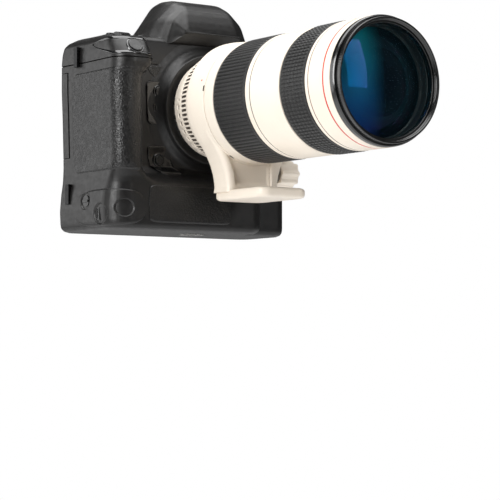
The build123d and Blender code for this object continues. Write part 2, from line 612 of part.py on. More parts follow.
EYECUP_T = 4.0
EYECUP_L = 6.0
with BuildPart() as eyecup:
    with BuildSketch(Plane(origin=(0, HUMP_BACK, EYE_Z), x_dir=(-1, 0, 0), z_dir=(0, 1, 0))):
        RectangleRounded(EYE_W + 2 * EYECUP_T, EYE_H + 2 * EYECUP_T - 3, 8)
        RectangleRounded(EYE_W - 4, EYE_H - 5, 5, mode=Mode.SUBTRACT)
    extrude(amount=EYECUP_L)
    fillet(eyecup.faces().sort_by(Axis.Y)[-1].outer_wire().edges(), 1.5)
eyecup.part.label = "eyecup"
export_step(eyecup.part, "parts/eyecup.step")

with BuildPart() as eyepiece_lens:
    with BuildSketch(Plane(origin=(0, BACK - 5.5, EYE_Z), x_dir=(-1, 0, 0), z_dir=(0, 1, 0))):
        Rectangle(EYE_W, EYE_H)
    extrude(amount=3)
eyepiece_lens.part.label = "eyepiece_lens"
export_step(eyepiece_lens.part, "parts/eyepiece_lens.step")

# ---- keys ------------------------------------------------------------------------------------
for name, (place, radius, proud) in {**FRONT_KEYS, **TOP_KEYS, **BACK_KEYS}.items():
    with BuildPart() as key:
        disc(place, radius, -KEY_DEPTH, proud)
        fillet(key.edges().sort_by(Axis(place.origin, place.z_dir))[-1], 0.6)
    key.part.label = name
    export_step(key.part, f"parts/{name}.step")

# ---- dials and levers --------------------------------------------------------------------------
TEETH = 24
TOOTH_DEPTH = 0.6

with BuildPart() as main_dial:
    with Locations(Location(MAIN_DIAL, (0, 90, 0))):
        Cylinder(DIAL_R, DIAL_L)
        with PolarLocations(DIAL_R, TEETH):
            Cylinder(TOOTH_DEPTH, DIAL_L - 2, mode=Mode.SUBTRACT)
        Cylinder(SPINDLE_R, DIAL_L + 2 * SPINDLE_STAND)
main_dial.part.label = "main_dial"
export_step(main_dial.part, "parts/main_dial.step")

with BuildPart() as vertical_dial:
    with Locations(UPRIGHT_DIAL):
        Cylinder(DIAL_R, DIAL_L)
        with PolarLocations(DIAL_R, TEETH):
            Cylinder(TOOTH_DEPTH, DIAL_L - 2, mode=Mode.SUBTRACT)
        Cylinder(SPINDLE_R, DIAL_L + 2 * SPINDLE_STAND)
vertical_dial.part.label = "vertical_dial"
export_step(vertical_dial.part, "parts/vertical_dial.step")

with BuildPart() as rear_dial:
    disc(BACK_DIAL, BACK_DIAL_R, BACK_DIAL_PROUD - BACK_DIAL_T, BACK_DIAL_PROUD)
    disc(BACK_DIAL, SPINDLE_R, -7, 0)
    disc(BACK_DIAL, 6.0, BACK_DIAL_PROUD - 1, BACK_DIAL_PROUD + 1, mode=Mode.SUBTRACT)
rear_dial.part.label = "rear_dial"
export_step(rear_dial.part, "parts/rear_dial.step")

with BuildPart() as power_switch:
    disc(BACK_SWITCH, SWITCH_R, FREE, 2.5)
    disc(BACK_SWITCH, SPINDLE_R, -7, 1)
    with BuildSketch(BACK_SWITCH.offset(FREE)):
        with Locations((SWITCH_ARM / 2, 0)):
            RectangleRounded(SWITCH_ARM + 4, 4, 1.8)
    extrude(amount=3)
power_switch.part.label = "power_switch"
export_step(power_switch.part, "parts/power_switch.step")

with BuildPart() as vertical_lock_lever:
    disc(SIDE_SWITCH, SIDE_SWITCH_R, -1 + FREE, 1.2)
    disc(SIDE_SWITCH, SPINDLE_R, -WALL - 1, 0)
    with BuildSketch(SIDE_SWITCH.offset(1)):
        Rectangle(2 * SIDE_SWITCH_R - 1, 1.6)
    extrude(amount=1)
vertical_lock_lever.part.label = "vertical_lock_lever"
export_step(vertical_lock_lever.part, "parts/vertical_lock_lever.step")

# ---- card door ---------------------------------------------------------------------------------
with BuildPart() as card_door:
    add(envelope.part)
    keep(-GRIP_SIDE - 1, DOOR_EAST, DOOR_SIDE_Y + DOOR_EDGE_GAP, BACK + 1, DOOR_FLOOR + FREE,
         DOOR_TOP - FREE)
    add(
        block(-GRIP_SIDE + DOOR_T, FAR_SIDE, -FRONT, BACK - DOOR_T, DOOR_FLOOR - 5, DOOR_TOP + 5,
              CORNER_R - DOOR_T),
        mode=Mode.SUBTRACT,
    )
card_door.part.label = "card_door"
export_step(card_door.part, "parts/card_door.step")

# ---- battery -----------------------------------------------------------------------------------
BATTERY_WEST = FAR_SIDE - BATTERY_CAP_T - BATTERY_L
with BuildPart() as battery_pack:
    bar(BATTERY_WEST, FAR_SIDE, BATTERY_Y - BATTERY_W / 2, BATTERY_Y + BATTERY_W / 2,
        BATTERY_FLOOR, BATTERY_FLOOR + BATTERY_H)
    fillet(battery_pack.edges().filter_by(Axis.X), 3)
    with Locations(Location((FAR_SIDE, BATTERY_Y, BATTERY_FLOOR + BATTERY_H / 2), (0, 90, 0))):
        Cylinder(LATCH_R + FREE, 4, mode=Mode.SUBTRACT)
battery_pack.part.label = "battery_pack"
export_step(battery_pack.part, "parts/battery_pack.step")

with BuildPart() as battery_latch:
    with Locations(
        Location((FAR_SIDE - 0.5, BATTERY_Y, BATTERY_FLOOR + BATTERY_H / 2), (0, 90, 0))
    ):
        Cylinder(LATCH_R, 2.4)
    bar(FAR_SIDE + 0.6, FAR_SIDE + 2.0, BATTERY_Y - 5.5, BATTERY_Y + 5.5,
        BATTERY_FLOOR + BATTERY_H / 2 - 1, BATTERY_FLOOR + BATTERY_H / 2 + 1)
battery_latch.part.label = "battery_latch"
export_step(battery_latch.part, "parts/battery_latch.step")

# ---- terminal cover ------------------------------------------------------------------------------
with BuildPart() as terminal_cover:
    bar(FAR_SIDE - TERMINAL_T + FREE, FAR_SIDE, TERMINAL_SOUTH, TERMINAL_NORTH, TERMINAL_FLOOR,
        TERMINAL_TOP)
    fillet(terminal_cover.faces().sort_by(Axis.X)[-1].edges(), 0.6)
terminal_cover.part.label = "terminal_cover"
export_step(terminal_cover.part, "parts/terminal_cover.step")

# ---- lens: fixed barrels --------------------------------------------------------------------------
TUBE_START = 18.0
BAYONET_R = 32.5
BAYONET_T = 1.5
BAYONET_DEPTH = 5.0
BAYONET_TUBE_R = THROAT_R - 2.0
with BuildPart() as lens_bayonet:
    ring(0, BAYONET_T, 20, BAYONET_R)
    ring(-BAYONET_DEPTH, 0, BAYONET_TUBE_R - 2, BAYONET_TUBE_R)
    for turn in range(3):
        with BuildSketch(LENS_FACE.offset(-BAYONET_DEPTH)) as lug:
            with BuildLine():
                CenterArc((0, 0), THROAT_R - 0.4, 14 + 120 * turn, 46)
                CenterArc((0, 0), BAYONET_TUBE_R - 1, 14 + 120 * turn, 46)
                for end in (14, 60):
                    way = radians(end + 120 * turn)
                    Line(
                        ((BAYONET_TUBE_R - 1) * cos(way), (BAYONET_TUBE_R - 1) * sin(way)),
                        ((THROAT_R - 0.4) * cos(way), (THROAT_R - 0.4) * sin(way)),
                    )
            make_face()
        extrude(amount=BAYONET_DEPTH - MOUNT_T - FREE)
lens_bayonet.part.label = "lens_bayonet"
export_step(lens_bayonet.part, "parts/lens_bayonet.step")

with BuildPart() as rear_barrel:
    turned(
        (
            (BAYONET_T, 28), (BAYONET_T, MOUNT_END_R - 0.6), (5.2, MOUNT_END_R), (14.0, TUBE_R + 0.3),
            (REAR_END - FREE, TUBE_R + 1.9), (REAR_END - FREE, TUBE_R), (TUBE_START, TUBE_R),
            (TUBE_START, TUBE_BORE_R), (12.0, TUBE_BORE_R), (12.0, 33), (5.0, 28),
        )
    )
rear_barrel.part.label = "rear_barrel"
export_step(rear_barrel.part, "parts/rear_barrel.step")

with BuildPart() as main_tube:
    ring(TUBE_START, FRONT_END - 2, TUBE_BORE_R, TUBE_R)
    ring(COLLAR_END, INDEX_END - FREE, TUBE_R, BARREL_R)
main_tube.part.label = "main_tube"
export_step(main_tube.part, "parts/main_tube.step")

SWITCH_TRAVEL = 4.0
SWITCH_Y = ZOOM_END + 19.6
with BuildPart() as middle_barrel:
    ring(ZOOM_END + FREE, MIDDLE_END - FREE, TUBE_R, BARREL_R)
    with Locations((BARREL_R, -FLANGE - SWITCH_Y, AXIS_H)):
        Box(3.4, 6 + SWITCH_TRAVEL + 2 * FREE, 5 + 2 * FREE, mode=Mode.SUBTRACT)
middle_barrel.part.label = "middle_barrel"
export_step(middle_barrel.part, "parts/middle_barrel.step")

with BuildPart() as focus_switch:
    with Locations((BARREL_R + 0.2, -FLANGE - SWITCH_Y + SWITCH_TRAVEL / 2, AXIS_H)):
        Box(3.0, 6, 5)
focus_switch.part.label = "focus_switch"
export_step(focus_switch.part, "parts/focus_switch.step")

with BuildPart() as front_barrel:
    ring(FOCUS_END + FREE, FRONT_END, TUBE_R, BARREL_R)
front_barrel.part.label = "front_barrel"
export_step(front_barrel.part, "parts/front_barrel.step")

with BuildPart() as front_ring:
    turned(
        (
            (FRONT_END, TUBE_BORE_R), (FRONT_END, BARREL_R - 0.2),
            (LENS_L - 1, BARREL_R - 0.2), (LENS_L, BARREL_R - 0.8),
            (LENS_L, FILTER_THREAD_R), (LENS_L - 3, FILTER_THREAD_R), (LENS_L - 3, TUBE_BORE_R),
        )
    )
front_ring.part.label = "front_ring"
export_step(front_ring.part, "parts/front_ring.step")

ELEMENT_R = TUBE_BORE_R - 0.7
ELEMENT_BACK = FRONT_END - 17.5
ELEMENT_EDGE = FRONT_END - 7.5
ELEMENT_BULGE = 6.0
with BuildPart() as front_element:
    with BuildSketch(LENS_SECTION):
        with BuildLine():
            Polyline((ELEMENT_EDGE, ELEMENT_R), (ELEMENT_BACK, ELEMENT_R), (ELEMENT_BACK, 0),
                     (ELEMENT_EDGE + ELEMENT_BULGE, 0))
            ThreePointArc(
                (ELEMENT_EDGE + ELEMENT_BULGE, 0),
                (ELEMENT_EDGE + ELEMENT_BULGE * 0.75, ELEMENT_R / 2),
                (ELEMENT_EDGE, ELEMENT_R),
            )
        make_face()
    revolve(axis=LENS_AXIS)
    ring(ELEMENT_BACK, ELEMENT_EDGE, ELEMENT_R, TUBE_BORE_R)
front_element.part.label = "front_element"
export_step(front_element.part, "parts/front_element.step")

with BuildPart() as filter_ring:
    ring(LENS_L, LENS_L + FILTER_L, FILTER_THREAD_R, FILTER_R)
    ring(LENS_L - 2.5, LENS_L + 1.0, FILTER_GLASS_R, FILTER_THREAD_R)
filter_ring.part.label = "filter_ring"
export_step(filter_ring.part, "parts/filter_ring.step")

with BuildPart() as filter_glass:
    disc(LENS_FACE, FILTER_GLASS_R, LENS_L - 2.0, LENS_L)
filter_glass.part.label = "filter_glass"
export_step(filter_glass.part, "parts/filter_glass.step")

# ---- lens: turning rings and the groups that they drive ----------------------------------------------
with BuildPart() as zoom_ring:
    ring(INDEX_END, ZOOM_END, TUBE_R + RUN, SLEEVE_R)
zoom_ring.part.label = "zoom_ring"
export_step(zoom_ring.part, "parts/zoom_ring.step")

with BuildPart() as zoom_rubber:
    ring(INDEX_END + 0.6, ZOOM_END - 0.6, SLEEVE_R, GRIP_RING_R)
zoom_rubber.part.label = "zoom_rubber"
export_step(zoom_rubber.part, "parts/zoom_rubber.step")

with BuildPart() as focus_ring:
    ring(MIDDLE_END, FOCUS_END, TUBE_R + RUN, SLEEVE_R)
focus_ring.part.label = "focus_ring"
export_step(focus_ring.part, "parts/focus_ring.step")

with BuildPart() as focus_rubber:
    ring(MIDDLE_END + 0.6, FOCUS_END - 0.6, SLEEVE_R, GRIP_RING_R)
focus_rubber.part.label = "focus_rubber"
export_step(focus_rubber.part, "parts/focus_rubber.step")

GROUP_R = TUBE_BORE_R - RUN
with BuildPart() as zoom_group:
    ring(INDEX_END + 10.1, INDEX_END + 30.1, GROUP_R - 4, GROUP_R)
    disc(LENS_FACE, GROUP_R - 3.5, INDEX_END + 16.1, INDEX_END + 24.1)
zoom_group.part.label = "zoom_group"
export_step(zoom_group.part, "parts/zoom_group.step")

with BuildPart() as focus_group:
    ring(MIDDLE_END + 4, MIDDLE_END + 22, GROUP_R - 3, GROUP_R)
    disc(LENS_FACE, GROUP_R - 2.5, MIDDLE_END + 10, MIDDLE_END + 17)
focus_group.part.label = "focus_group"
export_step(focus_group.part, "parts/focus_group.step")

# ---- tripod collar --------------------------------------------------------------------------------------
NECK_BACK = REAR_END + 1
NECK_FRONT = COLLAR_END - 1
KNOB_AT = (REAR_END + COLLAR_END) / 2
KNOB_Z = AXIS_H - COLLAR_R - 3.0
KNOB_START = NECK_W / 2 + 5.0
NECK_TOP_W = BARREL_R - 5.1
NECK_TOP = TUBE_R - 16.0
NECK_WAIST = COLLAR_R - 3.5
with BuildPart() as tripod_collar:
    turned(
        (
            (REAR_END, TUBE_R + RUN), (REAR_END, TUBE_R + 2.2), (REAR_END + 2, BARREL_R + 0.3),
            (REAR_END + 4.5, COLLAR_R), (REAR_END + 9, COLLAR_R), (COLLAR_END - FREE, BARREL_R + 0.2),
            (COLLAR_END - FREE, TUBE_R + RUN),
        )
    )
    with BuildSketch(LENS_FACE.offset(NECK_BACK)):
        with BuildLine():
            Line((-NECK_TOP_W, -NECK_TOP), (NECK_TOP_W, -NECK_TOP))
            ThreePointArc((NECK_TOP_W, -NECK_TOP), (NECK_W / 2 + 5, -NECK_WAIST),
                          (NECK_W / 2 + 1, -FOOT_DROP + FOOT_T))
            Line((NECK_W / 2 + 1, -FOOT_DROP + FOOT_T), (-NECK_W / 2, -FOOT_DROP + FOOT_T))
            ThreePointArc((-NECK_W / 2, -FOOT_DROP + FOOT_T), (-NECK_W / 2 - 4, -NECK_WAIST),
                          (-NECK_TOP_W, -NECK_TOP))
        make_face()
        Circle(TUBE_R + RUN, mode=Mode.SUBTRACT)
    extrude(amount=NECK_FRONT - NECK_BACK)
    with BuildSketch(Plane.XY.offset(FOOT_Z)):
        with Locations((0, -FLANGE - (NECK_BACK + FOOT_FRONT) / 2)):
            RectangleRounded(FOOT_W, FOOT_FRONT - NECK_BACK + 2, 4)
    extrude(amount=FOOT_T)
    cut(CLAMP_X, CLAMP_X + CLAMP_GAP, -FLANGE - COLLAR_END - 1, -FLANGE - REAR_END + 1,
        FOOT_Z + FOOT_T + 1, AXIS_H - TUBE_R + 4)
    with Locations(Location((NECK_W / 2 - 5, -FLANGE - KNOB_AT, KNOB_Z), (0, 90, 0))):
        Cylinder(KNOB_STEM_R + 0.08, 30, mode=Mode.SUBTRACT)
    with Locations(
        Location((KNOB_START - FREE + KNOB_L / 2, -FLANGE - KNOB_AT, KNOB_Z), (0, 90, 0))
    ):
        Cylinder(KNOB_R + 2 * FREE, KNOB_L, mode=Mode.SUBTRACT)
    with Locations((0, -FLANGE - (NECK_FRONT + FOOT_FRONT) / 2, FOOT_Z + FOOT_SOCKET_DEPTH / 2)):
        Cylinder(SCREW_R, FOOT_SOCKET_DEPTH, mode=Mode.SUBTRACT)
tripod_collar.part.label = "tripod_collar"
export_step(tripod_collar.part, "parts/tripod_collar.step")

KNOB_LOBES = 8
with BuildPart() as collar_knob:
    with Locations(
        Location((KNOB_START + KNOB_L / 2, -FLANGE - KNOB_AT, KNOB_Z), (0, 90, 0))
    ):
        Cylinder(KNOB_R, KNOB_L)
        with PolarLocations(KNOB_R + 1.2, KNOB_LOBES):
            Cylinder(2.6, KNOB_L, mode=Mode.SUBTRACT)
    with Locations(Location((KNOB_START - 7.0, -FLANGE - KNOB_AT, KNOB_Z), (0, 90, 0))):
        Cylinder(KNOB_STEM_R, 16)
collar_knob.part.label = "collar_knob"
export_step(collar_knob.part, "parts/collar_knob.step")
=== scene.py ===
"""Looks of a reflex camera with a telephoto zoom lens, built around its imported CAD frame.

Lengths in this file are millimetres until a mesh is made, when they become metres.
"""
import logging
import math
from dataclasses import dataclass
from enum import Enum
from typing import Callable, Sequence

import bmesh
import bpy
import numpy as np
from mathutils import Matrix, Vector


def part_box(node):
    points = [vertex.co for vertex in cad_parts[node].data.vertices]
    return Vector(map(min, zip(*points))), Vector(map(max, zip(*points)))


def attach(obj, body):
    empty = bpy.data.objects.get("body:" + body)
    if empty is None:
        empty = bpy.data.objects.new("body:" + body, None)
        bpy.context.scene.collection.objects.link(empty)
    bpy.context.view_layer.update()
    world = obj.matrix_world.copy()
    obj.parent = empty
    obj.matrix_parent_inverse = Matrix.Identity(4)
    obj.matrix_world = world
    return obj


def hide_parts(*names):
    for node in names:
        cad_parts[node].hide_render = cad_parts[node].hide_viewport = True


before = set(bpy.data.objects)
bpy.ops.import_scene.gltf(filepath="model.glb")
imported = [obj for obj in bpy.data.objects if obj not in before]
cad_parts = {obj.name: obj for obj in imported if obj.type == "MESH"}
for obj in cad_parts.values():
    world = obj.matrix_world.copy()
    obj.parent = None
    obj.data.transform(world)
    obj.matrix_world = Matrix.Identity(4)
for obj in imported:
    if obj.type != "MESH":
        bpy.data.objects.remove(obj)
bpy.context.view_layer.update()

LOG = logging.getLogger("camera")
MM = 0.001
FLANGE_Y = -30.0
AXIS_Z = 87.0
TURN = 2 * math.pi


# ---- materials ---------------------------------------------------------------------------

def linear(code: str) -> tuple[float, float, float, float]:
    """Turn an sRGB hex colour into linear red, green, blue and one.

    Args:
        code: six hex digits, such as "F4ECDD".

    Returns:
        The colour for a shader socket.
    """
    raw = np.array([int(code[i:i + 2], 16) for i in (0, 2, 4)]) / 255
    flat = np.where(raw <= 0.04045, raw / 12.92, ((raw + 0.055) / 1.055) ** 2.4)
    return (float(flat[0]), float(flat[1]), float(flat[2]), 1.0)


def add_node(tree: bpy.types.NodeTree, kind: str, settings: dict | None = None,
             inputs: dict | None = None) -> bpy.types.Node:
    """Add a node with its settings and links.

    Args:
        tree: the tree that gets the node.
        kind: the node's type name.
        settings: values for its attributes.
        inputs: for a socket's name or number, a value, or another node's output to link.

    Returns:
        The new node.
    """
    node = tree.nodes.new(kind)
    for key, value in (settings or {}).items():
        setattr(node, key, value)
    for key, value in (inputs or {}).items():
        if isinstance(value, bpy.types.NodeSocket):
            tree.links.new(value, node.inputs[key])
        else:
            node.inputs[key].default_value = value
    return node


class Grain(Enum):
    """How a surface's fine relief is made."""

    SPECKLE = "speckle"      # fine even noise, as on sprayed enamel
    CRINKLE = "crinkle"      # coarser wrinkled paint or spark-eroded moulding
    LEATHER = "leather"      # rounded pebbles, as on moulded grip rubber
    BRUSHED = "brushed"      # long fine scratches along one way
    RINGS = "rings"          # turned marks round the optical axis


@dataclass(frozen=True)
class Finish:
    """One opaque finish: what it is made of, its two colours, its gloss and its fine relief."""

    name: str
    slot: str
    colour: str
    shade: str
    rough: tuple[float, float] = (0.4, 0.55)
    metallic: float = 0.0
    ior: float = 1.5
    coat: float = 0.0
    sheen: float = 0.0
    grain: Grain = Grain.SPECKLE
    grain_mm: float = 0.6
    relief_mm: float = 0.02
    mottle_mm: float = 22.0

    def relief(self, tree: bpy.types.NodeTree, where: bpy.types.NodeSocket) -> bpy.types.NodeSocket:
        """Make the height pattern.

        Args:
            tree: the material's tree.
            where: Object coordinates, in metres.

        Returns:
            A height from 0 to 1.
        """
        scale = 1 / (self.grain_mm * MM)
        if self.grain is Grain.LEATHER:
            bend = add_node(tree, "ShaderNodeTexNoise", None,
                            {"Vector": where, "Scale": scale * 0.6, "Detail": 1.0})
            near = add_node(tree, "ShaderNodeMix", {"data_type": "VECTOR"},
                            {"Factor": 0.0009, 4: where, 5: bend.outputs["Color"]})
            cells = add_node(tree, "ShaderNodeTexVoronoi", {"feature": "SMOOTH_F1"},
                             {"Vector": near.outputs[1], "Scale": scale, "Smoothness": 0.35})
            return add_node(tree, "ShaderNodeMapRange", {"interpolation_type": "SMOOTHSTEP"},
                            {"Value": cells.outputs["Distance"], "From Min": 0.1, "From Max": 0.75,
                             "To Min": 1.0, "To Max": 0.0}).outputs["Result"]
        if self.grain is Grain.BRUSHED:
            long = add_node(tree, "ShaderNodeMapping", None,
                            {"Vector": where, "Scale": (0.04, 1.0, 1.0)})
            where = long.outputs["Vector"]
        if self.grain is Grain.RINGS:
            long = add_node(tree, "ShaderNodeMapping", None,
                            {"Vector": where, "Scale": (0.02, 1.0, 0.02)})
            where = long.outputs["Vector"]
        detail = 4.0 if self.grain is Grain.CRINKLE else 2.0
        noise = add_node(tree, "ShaderNodeTexNoise", None,
                         {"Vector": where, "Scale": scale, "Detail": detail, "Roughness": 0.6})
        return noise.outputs["Fac"]

    def build(self) -> bpy.types.Material:
        """Make the material: two mottled colours with painted shade in the relief's hollows, worn
        gloss and fine relief.

        Returns:
            The material.
        """
        material = bpy.data.materials.new(self.name)
        material.use_nodes = True
        tree = material.node_tree
        tree.nodes.clear()
        where = add_node(tree, "ShaderNodeTexCoord").outputs["Object"]
        mottle = add_node(tree, "ShaderNodeTexNoise", None,
                          {"Vector": where, "Scale": 1 / (self.mottle_mm * MM), "Detail": 5.0})
        dust = add_node(tree, "ShaderNodeTexNoise", None,
                        {"Vector": where, "Scale": 1 / (self.mottle_mm * 0.13 * MM), "Detail": 3.0})
        height = self.relief(tree, where)
        # painted shade: the relief's low points lean towards the shade colour, on top of the random
        # mottle
        relief_shade_and_mottle = add_node(tree, "ShaderNodeMath", {"operation": "MULTIPLY_ADD"},
                        {0: height, 1: 0.45, 2: mottle.outputs["Fac"]})
        share = add_node(tree, "ShaderNodeMapRange", None,
                         {"Value": relief_shade_and_mottle.outputs[0], "From Min": 0.4, "From Max": 1.0})
        tint = add_node(tree, "ShaderNodeMix", {"data_type": "RGBA"},
                        {"Factor": share.outputs["Result"], 6: linear(self.shade),
                         7: linear(self.colour)})
        gloss = add_node(tree, "ShaderNodeMapRange", None,
                         {"Value": dust.outputs["Fac"], "From Min": 0.3, "From Max": 0.7,
                          "To Min": self.rough[0], "To Max": self.rough[1]})
        bump = add_node(tree, "ShaderNodeBump", None,
                        {"Height": height, "Strength": 1.0, "Distance": self.relief_mm * MM})
        shader = add_node(tree, "ShaderNodeBsdfPrincipled", None,
                          {"Base Color": tint.outputs[2], "Roughness": gloss.outputs["Result"],
                           "Normal": bump.outputs["Normal"], "Metallic": self.metallic,
                           "IOR": self.ior, "Coat Weight": self.coat, "Coat Roughness": 0.12,
                           "Sheen Weight": self.sheen})
        add_node(tree, "ShaderNodeOutputMaterial", None, {"Surface": shader.outputs[0]})
        return material


@dataclass(frozen=True)
class CoatedGlass:
    """Multi-coated front element: deep dark glass with a thin-film coating and a painted teal and
    violet reflection on its left side.
    """

    name: str = "coated_glass_painted_reflection"
    slot: str = "optical_glass"

    def build(self) -> bpy.types.Material:
        """Make the glass: painted faint rings of the elements behind it with their teal
        reflections, and a painted teal and violet reflection over its left side.

        The painted reflection goes round the axis: its share is the sine of the angle and the
        distance from the axis, streaked by noise, and both are read from Object coordinates.

        Returns:
            The material.
        """
        material = bpy.data.materials.new(self.name)
        material.use_nodes = True
        tree = material.node_tree
        tree.nodes.clear()
        where = add_node(tree, "ShaderNodeTexCoord").outputs["Object"]
        centred = add_node(tree, "ShaderNodeMapping", None,
                           {"Vector": where, "Location": (0, 0, -AXIS_Z * MM)}).outputs["Vector"]
        flat = add_node(tree, "ShaderNodeVectorMath", {"operation": "MULTIPLY"},
                        {0: centred, 1: (1, 0, 1)}).outputs["Vector"]
        radius = add_node(tree, "ShaderNodeVectorMath", {"operation": "LENGTH"},
                          {0: flat}).outputs["Value"]
        rings = add_node(tree, "ShaderNodeValToRGB", None,
                         {"Fac": add_node(tree, "ShaderNodeMapRange", None,
                                          {"Value": radius, "From Max": 0.0355}).outputs[0]})
        # painted view into the lens: dark depths with faint rings of the inner elements and their
        # teal reflections
        stops = ((0.0, "05080A"), (0.38, "070D10"), (0.40, "0D1A1E"), (0.62, "081417"),
                 (0.64, "15292E"), (0.82, "0A1A1F"), (0.84, "040607"), (1.0, "020303"))
        ramp = rings.color_ramp
        for place, code in stops[1:-1]:
            ramp.elements.new(place)
        for element, (place, code) in zip(ramp.elements, stops):
            element.position, element.color = place, linear(code)
        # painted reflection: teal and violet over the glass's left side, streaked by noise, violet
        # low and teal high
        painted_reflection_streaks = add_node(tree, "ShaderNodeTexNoise", None,
                         {"Vector": where, "Scale": 18.0, "Detail": 1.0})
        side = add_node(tree, "ShaderNodeSeparateXYZ", None, {"Vector": centred})
        left = add_node(tree, "ShaderNodeMapRange", {"interpolation_type": "SMOOTHSTEP"},
                        {"Value": side.outputs["X"], "From Min": 0.006, "From Max": -0.022})
        painted_reflection_hue = add_node(tree, "ShaderNodeValToRGB", None,
                       {"Fac": add_node(tree, "ShaderNodeMapRange", None,
                                        {"Value": side.outputs["Z"], "From Min": -0.03,
                                         "From Max": 0.03}).outputs[0]})
        painted_reflection_hue.color_ramp.elements[0].color = linear("2F5FC8")
        painted_reflection_hue.color_ramp.elements[1].color = linear("28B4C4")
        share = add_node(tree, "ShaderNodeMath", {"operation": "MULTIPLY"},
                         {0: left.outputs["Result"], 1: add_node(
                             tree, "ShaderNodeMapRange", None,
                             {"Value": painted_reflection_streaks.outputs["Fac"], "From Min": 0.25,
                              "From Max": 0.6}).outputs[0]})
        tint = add_node(tree, "ShaderNodeMix", {"data_type": "RGBA"},
                        {"Factor": share.outputs[0], 6: rings.outputs["Color"],
                         7: painted_reflection_hue.outputs["Color"]})
        shader = add_node(tree, "ShaderNodeBsdfPrincipled", None,
                          {"Base Color": tint.outputs[2], "Roughness": 0.03, "IOR": 1.6,
                           "Thin Film Thickness": 340.0, "Thin Film IOR": 1.38,
                           "Coat Weight": 0.0})
        add_node(tree, "ShaderNodeOutputMaterial", None, {"Surface": shader.outputs[0]})
        return material


@dataclass(frozen=True)
class ClearGlass:
    """Thin clear glass: mostly see-through, with a sharp tinted reflection."""

    name: str
    slot: str
    tint: str
    strength: float = 0.12

    def build(self) -> bpy.types.Material:
        """Make the glass as a see-through surface mixed with a polished one.

        Returns:
            The material.
        """
        material = bpy.data.materials.new(self.name)
        material.use_nodes = True
        tree = material.node_tree
        tree.nodes.clear()
        where = add_node(tree, "ShaderNodeTexCoord").outputs["Object"]
        smear = add_node(tree, "ShaderNodeTexNoise", None,
                         {"Vector": where, "Scale": 90.0, "Detail": 2.0})
        gloss = add_node(tree, "ShaderNodeMapRange", None,
                         {"Value": smear.outputs["Fac"], "To Min": 0.0, "To Max": 0.05})
        clear = add_node(tree, "ShaderNodeBsdfTransparent", None, {"Color": (0.93, 0.97, 0.97, 1)})
        shine = add_node(tree, "ShaderNodeBsdfPrincipled", None,
                         {"Base Color": linear(self.tint), "Roughness": gloss.outputs["Result"],
                          "IOR": 1.52})
        mix = add_node(tree, "ShaderNodeMixShader", None,
                       {0: self.strength, 1: clear.outputs[0], 2: shine.outputs[0]})
        add_node(tree, "ShaderNodeOutputMaterial", None, {"Surface": mix.outputs[0]})
        return material


# Magnesium covers with baked crinkle paint: a fine even grain that scatters light to grey.
BODY_PAINT = Finish("crinkle_painted_magnesium", "body_paint", "151413", "0D0C0C",
                    (0.34, 0.46), grain=Grain.CRINKLE, grain_mm=0.9, relief_mm=0.03)
# Polished black ABS of the release panel and trims: tight bright reflections.
GLOSS_BLACK = Finish("polished_black_abs", "black_plastic", "121212", "0C0C0D",
                     (0.10, 0.18), coat=0.6, grain_mm=2.0, relief_mm=0.004)
# Satin moulded ABS of keys and dials: soft highlights.
KEY_BLACK = Finish("satin_moulded_abs", "black_plastic", "121212", "0C0C0C",
                   (0.26, 0.36), grain_mm=0.5, relief_mm=0.012)
# Moulded grip rubber with a leather grain of about a millimetre: pebbles whose valleys are darkened
# with painted shade.
LEATHER = Finish("leather_grained_rubber", "rubber", "161514", "060606",
                 (0.30, 0.46), grain=Grain.LEATHER, grain_mm=1.3, relief_mm=0.13, sheen=0.03)
# Baked cream enamel on the barrels: warm white with a fine sprayed tooth.
CREAM = Finish("baked_cream_enamel", "lens_white", "EFE5D7", "E6DACA",
               (0.34, 0.44), grain_mm=0.5, relief_mm=0.012, mottle_mm=60.0)
# Painted shade: a dark colour standing in for the shade in the slots between the cream ribs and in
# the barrels' grooves.
SLOT_PAINTED_SHADE = Finish("slot_painted_shade", "lens_white", "5A5148", "463E37",
                    (0.5, 0.6), grain_mm=0.5, relief_mm=0.01)
# Black anodised aluminium rings: turned, with a metallic edge shine.
ANODISED = Finish("black_anodised_aluminium", "lens_black", "0E0F10", "090A0A",
                  (0.16, 0.26), ior=1.6, coat=0.3, grain=Grain.RINGS, grain_mm=0.4,
                  relief_mm=0.002)
# Ribbed barrel rubber: matt, a little dusty on the ribs.
RING_RUBBER = Finish("ribbed_barrel_rubber", "ring_rubber", "131211", "0A0A0A",
                     (0.42, 0.6), sheen=0.1, grain_mm=0.5, relief_mm=0.02, mottle_mm=9.0)
# Bright turned steel of lugs, shoe, sockets and mount.
STEEL = Finish("brushed_stainless_steel", "bright_steel", "C9C7C3", "A5A39F",
               (0.22, 0.36), metallic=1.0, grain=Grain.BRUSHED, grain_mm=0.3, relief_mm=0.01)
# Black-coated steel of the strap lugs: a dull metal shine.
DARK_STEEL = Finish("black_coated_steel", "bright_steel", "2B2B2C", "1C1C1D",
                    (0.3, 0.42), metallic=0.9, grain_mm=0.4, relief_mm=0.006)
# Painted shade: grey standing in for the shade on the lock knob's face towards the neck.
KNOB_FACE_PAINTED_SHADE = Finish("knob_face_painted_shade", "lens_white", "8F8B85", "7F7B76",
                   (0.4, 0.5), grain_mm=0.5, relief_mm=0.01)
# Enamel inlays.
RED_ENAMEL = Finish("red_enamel_inlay", "lens_white", "D8362A", "C22B22",
                    (0.25, 0.35), grain_mm=0.5, relief_mm=0.004)
